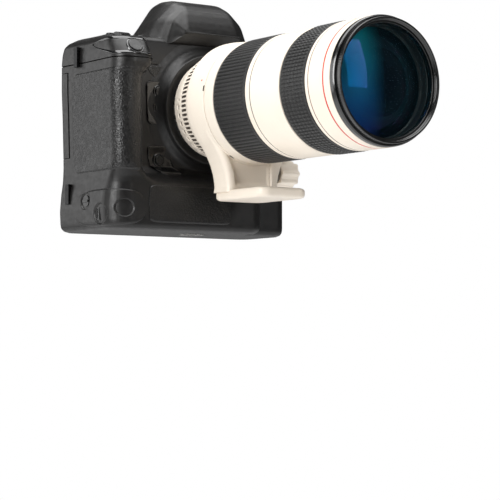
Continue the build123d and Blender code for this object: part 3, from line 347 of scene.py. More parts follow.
# Stamped and plated metal and moulded cells inside.
INNER_METAL = Finish("blackened_inner_metal", "inner_metal", "2E2F31", "1F2021",
                     (0.35, 0.5), metallic=0.6, grain_mm=0.5, relief_mm=0.01)
CELL_BLACK = Finish("black_lens_cell", "group_cell", "121212", "0A0A0A",
                    (0.45, 0.6), grain=Grain.RINGS, grain_mm=0.5, relief_mm=0.02)
MIRROR = Finish("silvered_mirror", "mirror_glass", "E8EAEA", "DCE0E0",
                (0.02, 0.05), metallic=1.0, grain_mm=1.0, relief_mm=0.001)
DISPLAY = Finish("black_display_glass", "display_glass", "0A0C0D", "060708",
                 (0.05, 0.1), coat=0.5, grain_mm=1.0, relief_mm=0.001)
FRONT_GLASS = CoatedGlass()
FILTER_GLASS = ClearGlass("clear_filter_glass", "optical_glass", "0A2A33", 0.10)
EYE_GLASS = ClearGlass("eyepiece_glass", "optical_glass", "10131A", 0.35)

WELD = 2e-6

MADE: dict[str, bpy.types.Material] = {}


def made(finish: Finish | CoatedGlass | ClearGlass) -> bpy.types.Material:
    """Return the finish's material, made the first time it is asked for."""
    if finish.name not in MADE:
        MADE[finish.name] = finish.build()
    return MADE[finish.name]


# ---- meshes ------------------------------------------------------------------------------

class Sculpt:
    """Gathers grids of points into one mesh, with a finish for each grid or face."""

    def __init__(self) -> None:
        """Start empty."""
        self.points: list[np.ndarray] = []
        self.faces: list[list[int]] = []
        self.finish: list[int] = []
        self.count = 0

    def grid(self, points: np.ndarray, around: bool = False, finish: int | np.ndarray = 0,
             flip: bool = False, cap_start: bool = False, cap_end: bool = False,
             up: bool = False, skip: np.ndarray | None = None) -> None:
        """Add a grid of rows by columns, with a four-sided face between neighbours.

        Args:
            points: rows x columns x 3, in millimetres.
            around: joins the last column to the first.
            finish: which finish the faces take, one number or one for each face.
            flip: turns the faces over.
            cap_start: closes the first row on its middle point.
            cap_end: closes the last row on its middle point.
            up: joins the last row to the first.
            skip: rows x columns, true where points lie in an opening, whose faces are left out.
        """
        rows, cols, _ = points.shape
        i = np.arange(rows if up else rows - 1)[:, None]
        j = np.arange(cols if around else cols - 1)[None, :]
        right, above = (j + 1) % cols, (i + 1) % rows
        quads = np.stack([i * cols + j, i * cols + right, above * cols + right,
                          above * cols + j], axis=-1).reshape(-1, 4) + self.count
        numbers = np.broadcast_to(finish, i.shape[:1] + j.shape[1:]).reshape(-1)
        if skip is not None:
            solid = ~skip.reshape(-1)[quads - self.count].all(axis=1)
            quads, numbers = quads[solid], numbers[solid]
        if flip:
            quads = quads[:, ::-1]
        self.faces += quads.tolist()
        self.finish += numbers.tolist()
        blocks = [points.reshape(-1, 3)]
        total = rows * cols
        for wanted, row, turn in ((cap_start, 0, True), (cap_end, rows - 1, False)):
            if wanted:
                blocks.append(points[row].mean(axis=0)[None])
                near = row * cols + np.arange(cols)
                far = np.roll(near, -1)
                trio = np.stack([near, far, np.full(cols, total)], axis=-1) + self.count
                if turn != flip:
                    trio = trio[:, ::-1]
                self.faces += trio.tolist()
                edge = finish if np.isscalar(finish) else int(np.asarray(finish).flat[0])
                self.finish += [edge] * cols
                total += 1
        self.points.append(np.concatenate(blocks))
        self.count += total

    @staticmethod
    def close(mesh: bpy.types.Mesh) -> None:
        """Weld the grids where their borders meet, and turn every face outwards.

        Args:
            mesh: the mesh to close, changed in place.
        """
        work = bmesh.new()
        work.from_mesh(mesh)
        bmesh.ops.remove_doubles(work, verts=work.verts, dist=WELD)
        bmesh.ops.recalc_face_normals(work, faces=work.faces)
        work.to_mesh(mesh)
        work.free()

    def piece(self, name: str, body: str, finishes: Sequence, replaces: Sequence[str] = (),
              angle: float = 38.0) -> bpy.types.Object:
        """Make the object and let it ride.

        Args:
            name: the piece's name.
            body: the CAD body that it rides on.
            finishes: its finishes, in the order of the grids' numbers.
            replaces: CAD nodes that it stands for.
            angle: edges sharper than this many degrees stay sharp.

        Returns:
            The object.
        """
        mesh = bpy.data.meshes.new(name)
        points = np.concatenate(self.points) * MM
        mesh.from_pydata(points.tolist(), [], self.faces)
        for finish in finishes:
            mesh.materials.append(made(finish))
        mesh.polygons.foreach_set("material_index", np.array(self.finish, np.int32))
        mesh.polygons.foreach_set("use_smooth", np.ones(len(mesh.polygons), bool))
        self.close(mesh)
        mesh.set_sharp_from_angle(angle=math.radians(angle))
        mesh.update()
        piece = bpy.data.objects.new(name, mesh)
        bpy.context.scene.collection.objects.link(piece)
        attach(piece, body)
        if replaces:
            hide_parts(*replaces)
        LOG.info("%s: %d faces on %s", name, len(self.faces), body)
        return piece


def rounded(points: Sequence[tuple[float, float]], radius: float | Sequence[float],
            closed: bool = False, steps: int = 6) -> np.ndarray:
    """Round a path's corners with arcs.

    Each corner becomes the rational quadratic curve from one tangent point to the other, with
    the corner as its middle point and the cosine of half the turn as its weight, which is an arc.

    Args:
        points: the path's corners.
        radius: one radius, or one for each corner.
        closed: whether the last corner joins the first.
        steps: points on each arc.

    Returns:
        The rounded path, points x 2.
    """
    corner = np.asarray(points, float)
    size = np.broadcast_to(np.asarray(radius, float), (len(corner),)).copy()
    if not closed:
        size[0] = size[-1] = 0
    path = round_corners(corner[None], size[None], steps)[0].reshape(-1, 2)
    if not closed:
        path = path[steps - 1:len(path) - steps + 1]
    keep = np.append(True, np.linalg.norm(np.diff(path, axis=0), axis=1) > 1e-5)
    return path[keep]


def round_corners(corner: np.ndarray, size: np.ndarray, steps: int) -> np.ndarray:
    """Round the corners of many closed polygons at once, as rounded() says.

    Args:
        corner: polygons x corners x 2.
        size: polygons x corners, the radii.
        steps: points on each arc.

    Returns:
        Polygons x corners x steps x 2.
    """
    back = corner - np.roll(corner, 1, axis=1)
    ahead = np.roll(corner, -1, axis=1) - corner
    len_back = np.maximum(np.linalg.norm(back, axis=2), 1e-6)
    len_ahead = np.maximum(np.linalg.norm(ahead, axis=2), 1e-6)
    back, ahead = back / len_back[..., None], ahead / len_ahead[..., None]
    turn = np.arccos(np.clip((back * ahead).sum(axis=2), -1, 1))
    reach = np.minimum(size * np.tan(np.minimum(turn, 3.0) / 2),
                       0.49 * np.minimum(len_back, len_ahead))[..., None]
    start, end = corner - back * reach, corner + ahead * reach
    s = np.linspace(0, 1, steps)[:, None]
    weight = np.cos(turn / 2)[..., None, None]
    a, b, c = (1 - s) ** 2, 2 * s * (1 - s) * weight, s ** 2
    return (a * start[:, :, None] + b * corner[:, :, None] + c * end[:, :, None]) / (a + b + c)


def densify(path: np.ndarray, step: float) -> np.ndarray:
    """Add points along a path so that no run is longer than step."""
    length = np.append(0, np.cumsum(np.linalg.norm(np.diff(path, axis=0), axis=1)))
    runs = [np.linspace(a, b, max(2, int(math.ceil((b - a) / step)) + 1))[:-1]
            for a, b in zip(length[:-1], length[1:])]
    at = np.append(np.concatenate(runs), length[-1])
    return np.stack([np.interp(at, length, path[:, k]) for k in (0, 1)], axis=-1)


def lens_points(forward: np.ndarray, radius: np.ndarray, angle: np.ndarray) -> np.ndarray:
    """Place points round the optical axis: angle 0 is up and a quarter turn is +X."""
    return np.stack([radius * np.sin(angle), FLANGE_Y - forward,
                     AXIS_Z + radius * np.cos(angle)], axis=-1)


def turned(sculpt: Sculpt, profile: np.ndarray, count: int = 192,
           relief: Callable | None = None, finish: Callable | int = 0,
           closed: bool = True) -> None:
    """Add a profile turned about the optical axis.

    Args:
        sculpt: what gets the grid.
        profile: points of (forward, radius), going round the section with the outside last.
        count: steps round the axis.
        relief: gives the height over the profile, from forward, radius and angle.
        finish: a finish number, or a function that gives one from the height.
        closed: whether the profile's end joins its start.
    """
    angle = np.linspace(0, TURN, count, endpoint=False)
    forward, spin = np.meshgrid(profile[:, 0], angle, indexing="ij")
    radius = np.broadcast_to(profile[:, 1][:, None], forward.shape)
    rise = relief(forward, radius, spin) if relief else np.zeros_like(forward)
    numbers: int | np.ndarray = 0
    if callable(finish):
        mean = (rise + np.roll(rise, -1, axis=1)) / 2
        mean = (mean + np.roll(mean, -1, axis=0)) / 2
        numbers = finish(mean if closed else mean[:-1])
    else:
        numbers = finish
    sculpt.grid(lens_points(forward, radius + rise, spin), around=True, up=closed, finish=numbers)


def band(value: np.ndarray, low: float, high: float, soft: float) -> np.ndarray:
    """One between low and high, falling to zero over soft on each side."""
    return np.clip((value - low) / soft + 0.5, 0, 1) * np.clip((high - value) / soft + 0.5, 0, 1)


def comb(angle: np.ndarray, count: int, share: float, soft: float = 0.12) -> np.ndarray:
    """One on each of count equal teeth round the axis, zero between, with sloped flanks."""
    phase = np.abs((angle * count / TURN) % 1.0 - 0.5) * 2
    return np.clip((share - phase) / soft + 0.5, 0, 1)


# ---- lens --------------------------------------------------------------------------------

@dataclass
class Barrels:
    """The lens's turned barrels and rings, measured forward from the flange."""

    collar_end: float = 49.2
    index_end: float = 59.9
    zoom_end: float = 97.4
    middle_end: float = 136.0
    focus_end: float = 163.3
    front_end: float = 189.5
    rim: float = 193.6
    barrel_r: float = 42.1
    tube_r: float = 38.0
    gap: float = 0.3
    slots: int = 78
    ribs: int = 96
    blocks: int = 104
    block_rows: int = 6

    def sleeve(self, start: float, end: float, bore: float, outside: float,
               edge: float = 0.5) -> np.ndarray:
        """A tube's section with rounded edges, from start to end.

        Args:
            start: rear end, forward of the flange.
            end: front end.
            bore: inside radius.
            outside: outside radius.
            edge: radius of the edges.

        Returns:
            The section's path, points of (forward, radius).
        """
        corners = ((start, bore), (start, outside), (end, outside), (end, bore))
        return densify(rounded(corners, (0, edge, edge, 0), closed=True), 1.6)

    def rear(self) -> None:
        """The slotted cone next to the camera: cream ribs with painted shade in the slots between
        them.
        """
        corners = ((1.5, 28), (1.5, 34.9), (5.2, 35.5), (14.0, 38.3), (25.7, 39.9), (25.7, 38.0),
                   (18.0, 38.0), (18.0, 36.2), (12.0, 36.2), (12.0, 33.0), (5.0, 28.0))
        path = densify(rounded(corners, (0, 0.5, 1.5, 6, 0.5, 0, 0, 0, 0, 0, 0), closed=True), 0.7)

        def relief(forward: np.ndarray, radius: np.ndarray, angle: np.ndarray) -> np.ndarray:
            """Height over the profile at a place along, out from and round the axis."""
            outside = 1.0 * (radius > 34.0 + np.clip(forward - 5.2, 0, 99) * 0.22)
            slot = band(forward, 15.2, 22.6, 0.5) * (1 - comb(angle, self.slots, 0.52))
            low = np.abs((angle - math.radians(215) + math.pi) % TURN - math.pi)
            second = (band(forward, 7.6, 11.6, 0.6) * (1 - comb(angle, self.slots // 2, 0.45))
                      * (low < math.radians(62)))
            lip = band(forward, 12.6, 13.2, 0.4) * 0.35
            return -(slot * 0.9 + second * 0.8 + lip) * outside

        sculpt = Sculpt()
        # slots deeper than 0.42 take the slot's painted shade
        turned(sculpt, path, self.slots * 10, relief, lambda h: (h < -0.42).astype(int))
        sculpt.piece("rear_barrel_skin", "lens", (CREAM, SLOT_PAINTED_SHADE), ("rear_barrel",))

    def tube(self) -> None:
        """The inner tube with the index band in front of the collar."""
        sculpt = Sculpt()
        turned(sculpt, self.sleeve(18.0, 187.5, 36.2, 38.0, 0.0), 96, finish=1)
        turned(sculpt, self.sleeve(self.collar_end, self.index_end - self.gap, 38.0,
                                   self.barrel_r))
        sculpt.piece("tube_and_index_band", "lens", (CREAM, CELL_BLACK), ("main_tube",))

    def middle(self) -> None:
        """The barrel with the distance window: cream, with a fine groove near its back; the groove
        and the slide's recess are darkened with painted shade.
        """
        start, end = self.zoom_end + self.gap, self.middle_end - self.gap
        path = densify(self.sleeve(start, end, self.tube_r, self.barrel_r), 0.35)

        def relief(forward: np.ndarray, radius: np.ndarray, angle: np.ndarray) -> np.ndarray:
            """Height over the profile at a place along, out from and round the axis."""
            outside = 1.0 * (radius > self.barrel_r - 0.1)
            window = band(forward, 111, 124, 0.8) * (np.cos(angle) > math.cos(math.radians(17)))
            slide = band(forward, 107, 129, 0.8) * (np.sin(angle) > math.cos(math.radians(13)))
            return -outside * (0.35 * band(forward, 102.6, 103.2, 0.35) + 0.7 * window
                               + 0.4 * slide + 0.06 * band(forward, 123.2, 123.7, 0.3))

        sculpt = Sculpt()
        # the window takes the display glass; the grooves and the slide's recess take the slot's
        # painted shade
        turned(sculpt, path, 384, relief,
               lambda h: np.where(h < -0.55, 2, np.where(h < -0.2, 1, 0)))
        sculpt.piece("middle_barrel_skin", "lens", (CREAM, SLOT_PAINTED_SHADE, DISPLAY),
                     ("middle_barrel",))

    def front(self) -> None:
        """The front barrel with its red line and the fine groove behind it, darkened with painted
        shade.
        """
        start, end = self.focus_end + self.gap, self.front_end
        path = densify(self.sleeve(start, end, self.tube_r, self.barrel_r), 0.3)

        def relief(forward: np.ndarray, radius: np.ndarray, angle: np.ndarray) -> np.ndarray:
            """Height over the profile at a place along, out from and round the axis."""
            outside = 1.0 * (radius > self.barrel_r - 0.1)
            return -outside * (0.25 * band(forward, 166.8, 167.2, 0.3)
                               + 0.11 * band(forward, 182.0, 183.3, 0.3))

        sculpt = Sculpt()
        # the deep groove takes the slot's painted shade; the shallow band takes the red inlay
        turned(sculpt, path, 256, relief,
               lambda h: np.where(h < -0.12, 1, np.where(h < -0.055, 2, 0)))
        sculpt.piece("front_barrel_skin", "lens", (CREAM, SLOT_PAINTED_SHADE, RED_ENAMEL),
                     ("front_barrel",))

    def zoom(self) -> None:
        """The zoom ring's rubber: long ribs along the barrel between two smooth edges."""
        start, end = self.index_end + 0.3, self.zoom_end - 0.3
        path = densify(self.sleeve(start, end, 40.5, 42.0, 0.6), 1.2)

        def relief(forward: np.ndarray, radius: np.ndarray, angle: np.ndarray) -> np.ndarray:
            """Height over the profile at a place along, out from and round the axis."""
            outside = 1.0 * (radius > 41.3)
            wide = band(forward, start + 2.0, end - 2.6, 0.9)
            return outside * (0.7 * wide * comb(angle, self.ribs, 0.62, 0.25) - 0.25 * wide)

        sculpt = Sculpt()
        turned(sculpt, path, self.ribs * 9, relief)
        sculpt.piece("zoom_ring_rubber", "zoom", (RING_RUBBER,), ("zoom_rubber",))

    def focus(self) -> None:
        """The focus ring's rubber: rows of small blocks between two smooth edges."""
        start, end = self.middle_end + 0.3, self.focus_end - 0.3
        path = densify(self.sleeve(start, end, 40.5, 42.0, 0.6), 0.55)
        pitch = (end - start - 4.4) / self.block_rows

        def relief(forward: np.ndarray, radius: np.ndarray, angle: np.ndarray) -> np.ndarray:
            """Height over the profile at a place along, out from and round the axis."""
            outside = 1.0 * (radius > 41.3)
            wide = band(forward, start + 2.2, end - 2.2, 0.5)
            row = np.abs(((forward - start - 2.2) / pitch) % 1.0 - 0.5) * 2
            along = np.clip((0.78 - row) / 0.2 + 0.5, 0, 1)
            return outside * wide * (0.8 * comb(angle, self.blocks, 0.6, 0.25) * along - 0.3)

        sculpt = Sculpt()
        turned(sculpt, path, self.blocks * 8, relief)
        sculpt.piece("focus_ring_rubber", "focus", (RING_RUBBER,), ("focus_rubber",))

    def rim_rings(self) -> None:
        """The black front ring and the filter's ring, with a fine thread inside the filter's ring.
        """
        path = rounded(((self.front_end, 36.2), (self.front_end, 41.9), (192.6, 41.9),
                        (self.rim, 41.3), (self.rim, 38.5), (190.6, 38.5), (190.6, 36.2)),
                       (0, 0.3, 0.3, 0.3, 0.2, 0, 0), closed=True)
        sculpt = Sculpt()
        turned(sculpt, densify(path, 0.6), 256)
        sculpt.piece("front_ring_skin", "lens", (ANODISED,), ("front_ring",))
        path = rounded(((self.rim, 38.5), (self.rim, 40.2), (197.6, 40.2), (197.6, 38.9),
                        (196.9, 38.3), (194.6, 38.3), (194.6, 36.6), (191.1, 36.6), (191.1, 38.5)),
                       (0, 0.3, 0.5, 0.3, 0.2, 0.2, 0.3, 0, 0), closed=True)

        def relief(forward: np.ndarray, radius: np.ndarray, angle: np.ndarray) -> np.ndarray:
            """Height over the profile at a place along, out from and round the axis."""
            outside = 1.0 * (radius > 40.0)
            thread = (radius < 38.4) & (forward > 194.7)
            return (-0.12 * outside * band(forward, 194.3, 196.9, 0.2) * comb(angle, 160, 0.5, 0.3)
                    - 0.18 * thread * np.sin(forward * TURN / 0.75))

        sculpt = Sculpt()
        turned(sculpt, densify(path, 0.22), 640, relief)
        sculpt.piece("filter_ring_skin", "lens", (ANODISED,), ("filter_ring",))

    def glass(self) -> None:
        """The domed front element and the stepped black baffle round it.

        The dome's height over its edge falls with the square of the distance from the axis.
        """
        radius = np.linspace(0, 35.5, 40)
        dome = np.stack([182.0 + 6.0 * (1 - (radius / 35.5) ** 2), radius], axis=-1)[1:]
        tail = np.array([(179.0, 35.5), (179.0, 20.0)])
        sculpt = Sculpt()
        angle = np.linspace(0, TURN, 160, endpoint=False)
        path = np.concatenate([tail[::-1], dome[::-1]])
        forward, spin = np.meshgrid(path[:, 0], angle, indexing="ij")
        sculpt.grid(lens_points(forward, np.broadcast_to(path[:, 1][:, None], forward.shape), spin),
                    around=True, cap_start=True, cap_end=True)
        sculpt.piece("front_element_dome", "lens", (FRONT_GLASS,), ("front_element",))
        corners = [(180.0, 36.15), (180.0, 35.55)]
        for step in range(9):
            corners += [(181.6 + step, 35.55 + 0.06 * step), (181.9 + step, 35.9)]
        corners += [(190.4, 36.15)]
        sculpt = Sculpt()
        turned(sculpt, np.array(corners), 160)
        sculpt.piece("stepped_baffle", "lens", (CELL_BLACK,))

    def marks(self) -> None:
        """Index ticks and the red mounting dot."""
        for name, at, angle, length, width, finish, body in (
                ("mount_dot", 44.5, -72.0, 1.5, 1.5, RED_ENAMEL, "collar"),
                ("collar_tick", 48.2, -80.0, 1.3, 4.4, KEY_BLACK, "collar"),
                ("collar_tick_low", 48.2, 206.0, 1.3, 4.4, KEY_BLACK, "collar"),
                ("zoom_index", 57.6, -4.0, 3.0, 0.9, KEY_BLACK, "lens")):
            u, v = np.meshgrid(np.linspace(-1, 1, 9), np.linspace(-1, 1, 9), indexing="ij")
            bulge = 0.12 * (1 - np.maximum(np.abs(u), np.abs(v)) ** 4) - 0.05
            squeeze = np.sqrt(1 - 0.5 * v ** 2) if length == width else 1.0
            squash = np.sqrt(1 - 0.5 * u ** 2) if length == width else 1.0
            radius = np.interp(at, (35.0, 48.9, 49.3), (43.5, 42.3, 42.1))
            slope = np.interp(at + u * length / 2, (35.0, 48.9, 49.3), (43.5, 42.3, 42.1))
            spin = math.radians(angle) + v * squash * width / 2 / radius
            sculpt = Sculpt()
            sculpt.grid(lens_points(at + u * squeeze * length / 2, slope + bulge, spin))
            sculpt.piece(name, body, (finish,))

    def build(self) -> None:
        """Build every turned piece of the lens."""
        self.rear()
        self.tube()
        self.middle()
        self.front()
        self.zoom()
        self.focus()
        self.rim_rings()
        self.glass()
        self.marks()


# ---- tripod collar -----------------------------------------------------------------------

@dataclass
class TripodCollar:
    """The turning collar with its waisted neck, long foot and scalloped lock knob."""

    back: float = 26.0
    front: float = 48.9
    ring_r: float = 43.5
    foot_z: float = 20.0
    foot_w: float = 39.0
    foot_y: tuple[float, float] = (-56.0, -115.0)
    knob_x: float = 25.5
    knob_l: float = 15.0
    knob_y: float = -67.6
    knob_z: float = 40.5

    def ring(self, sculpt: Sculpt) -> None:
        """Add the ring: a tube's section whose back edge slopes in to the barrel."""
        corners = ((self.back, 38.05), (self.back, 40.2), (28.0, 42.4), (30.5, self.ring_r),
                   (35.0, self.ring_r), (self.front, 42.3), (self.front, 38.05))
        path = rounded(corners, (0, 0.5, 2, 2.5, 8, 0.4, 0), closed=True)
        turned(sculpt, densify(path, 1.2), 192)

    def neck(self, sculpt: Sculpt) -> None:
        """Add the neck: rounded oblong sections whose half-widths narrow to the waist.

        Down the neck the west half-width falls from 38 to 20.5 and the east from 38 to 21.5,
        along a curve through the waist, and the front face is hollowed between its thick edges.
        """
        z = np.concatenate([np.linspace(66, 30, 46), np.linspace(29.2, 25.5, 8)])
        west = np.interp(z, (25.5, 27, 29, 32, 38, 44, 50, 56, 62, 66),
                         (21.0, 20.8, 20.5, 20.7, 21.8, 23.8, 26.8, 30.6, 35.0, 37.5))
        east = np.interp(z, (25.5, 27, 29, 32, 38, 44, 50, 56, 62, 66),
                         (21.4, 21.4, 21.3, 21.5, 22.4, 24.4, 27.4, 31.0, 35.0, 37.5))
        back = np.full_like(z, -57.2)
        front = np.full_like(z, -77.8)
        corner = np.stack([np.stack([-west, back], -1), np.stack([-west, front], -1),
                           np.stack([east, front], -1), np.stack([east, back], -1)], axis=1)
        size = np.full(corner.shape[:2], 4.0)
        plan = round_corners(corner, size, 9).reshape(len(z), -1, 2)
        extra = np.linspace(0, 1, 60)[1:-1]
        plan = np.concatenate([plan[:, :18],
                               plan[:, 17:18] * (1 - extra[:, None])
                               + plan[:, 18:19] * extra[:, None],
                               plan[:, 18:]], axis=1)
        height = np.broadcast_to(z[:, None], plan.shape[:2])
        x, y = plan[..., 0], plan[..., 1]
        hollow = (band(x, -west[:, None] + 6.5, 13.6, 2.5) * (y < -77.6)
                  * band(height, 31.0, 90.0, 3.0))
        split = band(x, 13.9, 14.9, 0.5) * (y < -77.6)
        points = np.stack([x, y + 2.2 * hollow + 1.2 * split, height], axis=-1)
        sculpt.grid(points, around=True, cap_start=True, cap_end=True)

    def foot(self, sculpt: Sculpt) -> None:
        """Add the foot: a long plate with rounded ends, its edges turned in top and bottom."""
        half, north, south = self.foot_w / 2, self.foot_y[0], self.foot_y[1]
        inset = np.array([3.4, 1.6, 0.6, 0.1, 0.0, 0.0, 0.1, 0.7, 1.8, 3.6, 5.2])
        level = self.foot_z + np.array([0, 0.15, 0.8, 1.8, 2.8, 4.4, 5.4, 6.4, 6.95, 7.0, 7.3])
        corner = np.stack([np.stack([-half + inset, north - inset], -1),
                           np.stack([-half + inset, south + inset], -1),
                           np.stack([half - inset, south + inset], -1),
                           np.stack([half - inset, north - inset], -1)], axis=1)
        plan = round_corners(corner, np.full(corner.shape[:2], 7.0), 12).reshape(len(level), -1, 2)
        height = np.broadcast_to(level[:, None], plan.shape[:2])
        points = np.concatenate([plan, height[..., None]], axis=2)
        sculpt.grid(points, around=True, cap_start=True, cap_end=True)

    def knob(self) -> None:
        """Build the lock knob: a scalloped cap whose face towards the neck is grey painted shade.

        Its radius is 9.5 less a scallop that follows the cosine of eight times the angle.
        """
        corners = ((0, 6.8), (0, 9.2), (self.knob_l, 9.5), (self.knob_l, 0.4))
        path = densify(rounded(corners, (0.2, 0.8, 1.6, 0)), 0.9)
        path = np.concatenate([[(0.0, 0.6)], path])
        angle = np.linspace(0, TURN, 160, endpoint=False)
        along, spin = np.meshgrid(path[:, 0], angle, indexing="ij")
        radius = np.broadcast_to(path[:, 1][:, None], along.shape)
        wave = np.clip(np.cos(8 * spin), -0.5, 1.0)
        radius = radius - 0.9 * (1 - wave) * (radius > 7.5)
        points = np.stack([self.knob_x + along, self.knob_y + radius * np.cos(spin),
                           self.knob_z + radius * np.sin(spin)], axis=-1)
        sculpt = Sculpt()
        # painted shade: the face towards the neck takes the grey
        face = np.zeros((len(path) - 1, len(angle)), int)
        face[0] = 1
        sculpt.grid(points, around=True, cap_start=True, cap_end=True, finish=face)
        stem = np.stack([np.linspace(10.5, 27, 12), np.full(12, 3.0)], -1)
        along, spin = np.meshgrid(stem[:, 0], angle[::4], indexing="ij")
        points = np.stack([along, self.knob_y + 3 * np.cos(spin), self.knob_z + 3 * np.sin(spin)],
                          axis=-1)
        sculpt.grid(points, around=True, cap_start=True, cap_end=True, finish=0)
        sculpt.piece("collar_lock_knob", "collar_knob", (CREAM, KNOB_FACE_PAINTED_SHADE), ("collar_knob",))

    def build(self) -> None:
        """Build the collar and its knob."""
        sculpt = Sculpt()
        self.ring(sculpt)
        self.neck(sculpt)
        self.foot(sculpt)
        sculpt.piece("collar_and_foot", "collar", (CREAM,), ("tripod_collar",))
        self.knob()


# ---- camera body -------------------------------------------------------------------------

# Height; west side; nose front; nose corner radius; inner corner x, radius; channel corner
# x, y, radius; far end of the low grip x, y, radius; front wall; east side; back; back radius.
STATIONS = np.array((
    (0.0, -84.0, -36.4, 22, -55, 30, -40, -36.2, 30, 32, -36.4, 12, -16.5, 66.5, 30.5, 9),
    (1.0, -86.6, -38.6, 23, -55, 30, -40, -38.4, 30, 34, -38.6, 13, -18.6, 68.8, 32.6, 9),
    (3.0, -88.1, -39.7, 25, -55, 30, -40, -39.5, 30, 35.6, -39.7, 15, -19.7, 69.8, 33.8, 9),
    (6.0, -88.6, -40.0, 25, -55, 30, -40, -39.8, 30, 36, -40, 16, -20, 70, 34, 9),
    (15.0, -89.0, -40.0, 25, -55, 30, -40, -39.8, 30, 36, -40, 16, -20, 70, 34, 9),
    (27.0, -88.0, -40.0, 24, -56, 30, -41, -39.8, 30, 36, -40, 16, -20, 70, 34, 9),
    (32.0, -87.2, -39.9, 21, -58, 26, -44, -38.4, 22, 36, -38.6, 14, -20, 70, 34, 9),
    (36.0, -86.7, -40.2, 17, -61, 18, -54, -33.0, 12, 38, -33, 10, -20, 70, 34, 9),
    (40.0, -86.5, -41.2, 14, -63.5, 13, -60.5, -25.0, 6, 40, -25, 6, -20, 70, 34, 9),
    (45.0, -86.3, -42.4, 12, -64.6, 11.5, -63.0, -20.6, 4, 42, -21, 4, -20, 70, 34, 9),
    (52.0, -86.4, -43.0, 11.5, -65, 11.5, -63.3, -20.2, 4, 43, -20.3, 3, -20, 70, 34, 9),
    (80.0, -87.2, -43.0, 11.5, -65, 11.5, -63.3, -20.2, 4, 43, -20.3, 3, -20, 70, 34, 9),
    (100.0, -88.0, -43.0, 11.5, -65, 11.5, -63.3, -20.2, 4, 43, -20.3, 3, -20, 70, 34, 9),
    (106.5, -88.0, -43.2, 11.5, -64.6, 11, -62.8, -20.2, 4, 43, -20.3, 3, -20, 70, 34, 9),
    (110.5, -88.0, -45.0, 12.5, -61.5, 8, -60.2, -20.2, 3, 43, -20.3, 3, -20, 70, 34, 9),
    (113.5, -88.0, -46.0, 14, -60, 6.5, -59.3, -20.2, 3, 43, -20.3, 3, -20, 70, 34, 9),
    (118.6, -88.0, -46.0, 14, -60, 6.5, -59.3, -20.2, 3, 43, -20.3, 3, -20, 70, 34, 9),
    (125.0, -87.8, -41.8, 13, -60, 6, -59.3, -20.2, 3, 43, -20.3, 3, -20, 70, 33.8, 9.5),
    (130.2, -86.9, -38.0, 12, -60.2, 5, -59.4, -20.1, 3, 43, -20.2, 3, -19.9, 69.6, 33.2, 10),
    (132.2, -85.6, -35.4, 11, -60.6, 5, -59.6, -19.9, 3, 43, -20.0, 3, -19.7, 68.9, 32.2, 11),
    (133.2, -84.6, -32.0, 11, -61.0, 5, -59.9, -19.7, 3, 43, -19.8, 3, -19.5, 68.3, 31.4, 11),
    (133.7, -83.8, -25.0, 9, -61.8, 4, -60.2, -19.5, 3, 43, -19.6, 3, -19.3, 67.8, 30.9, 12),
    (134.2, -83.0, -21.8, 8, -62.2, 3, -60.4, -19.2, 2, 43, -19.3, 3, -19.0, 67.3, 30.2, 12),
    (135.6, -80.5, -19.6, 8, -62.6, 2, -60.4, -17.9, 2, 43, -18.2, 3, -17.9, 65.4, 28.2, 12),
    (136.5, -77.5, -17.6, 8, -62.8, 2, -60.6, -16.2, 2, 43, -16.5, 3, -16.3, 62.8, 25.8, 12),
    (136.85, -74.0, -15.0, 8, -63.0, 2, -60.8, -13.7, 2, 43, -14, 3, -13.8, 60.0, 23.0, 12)))


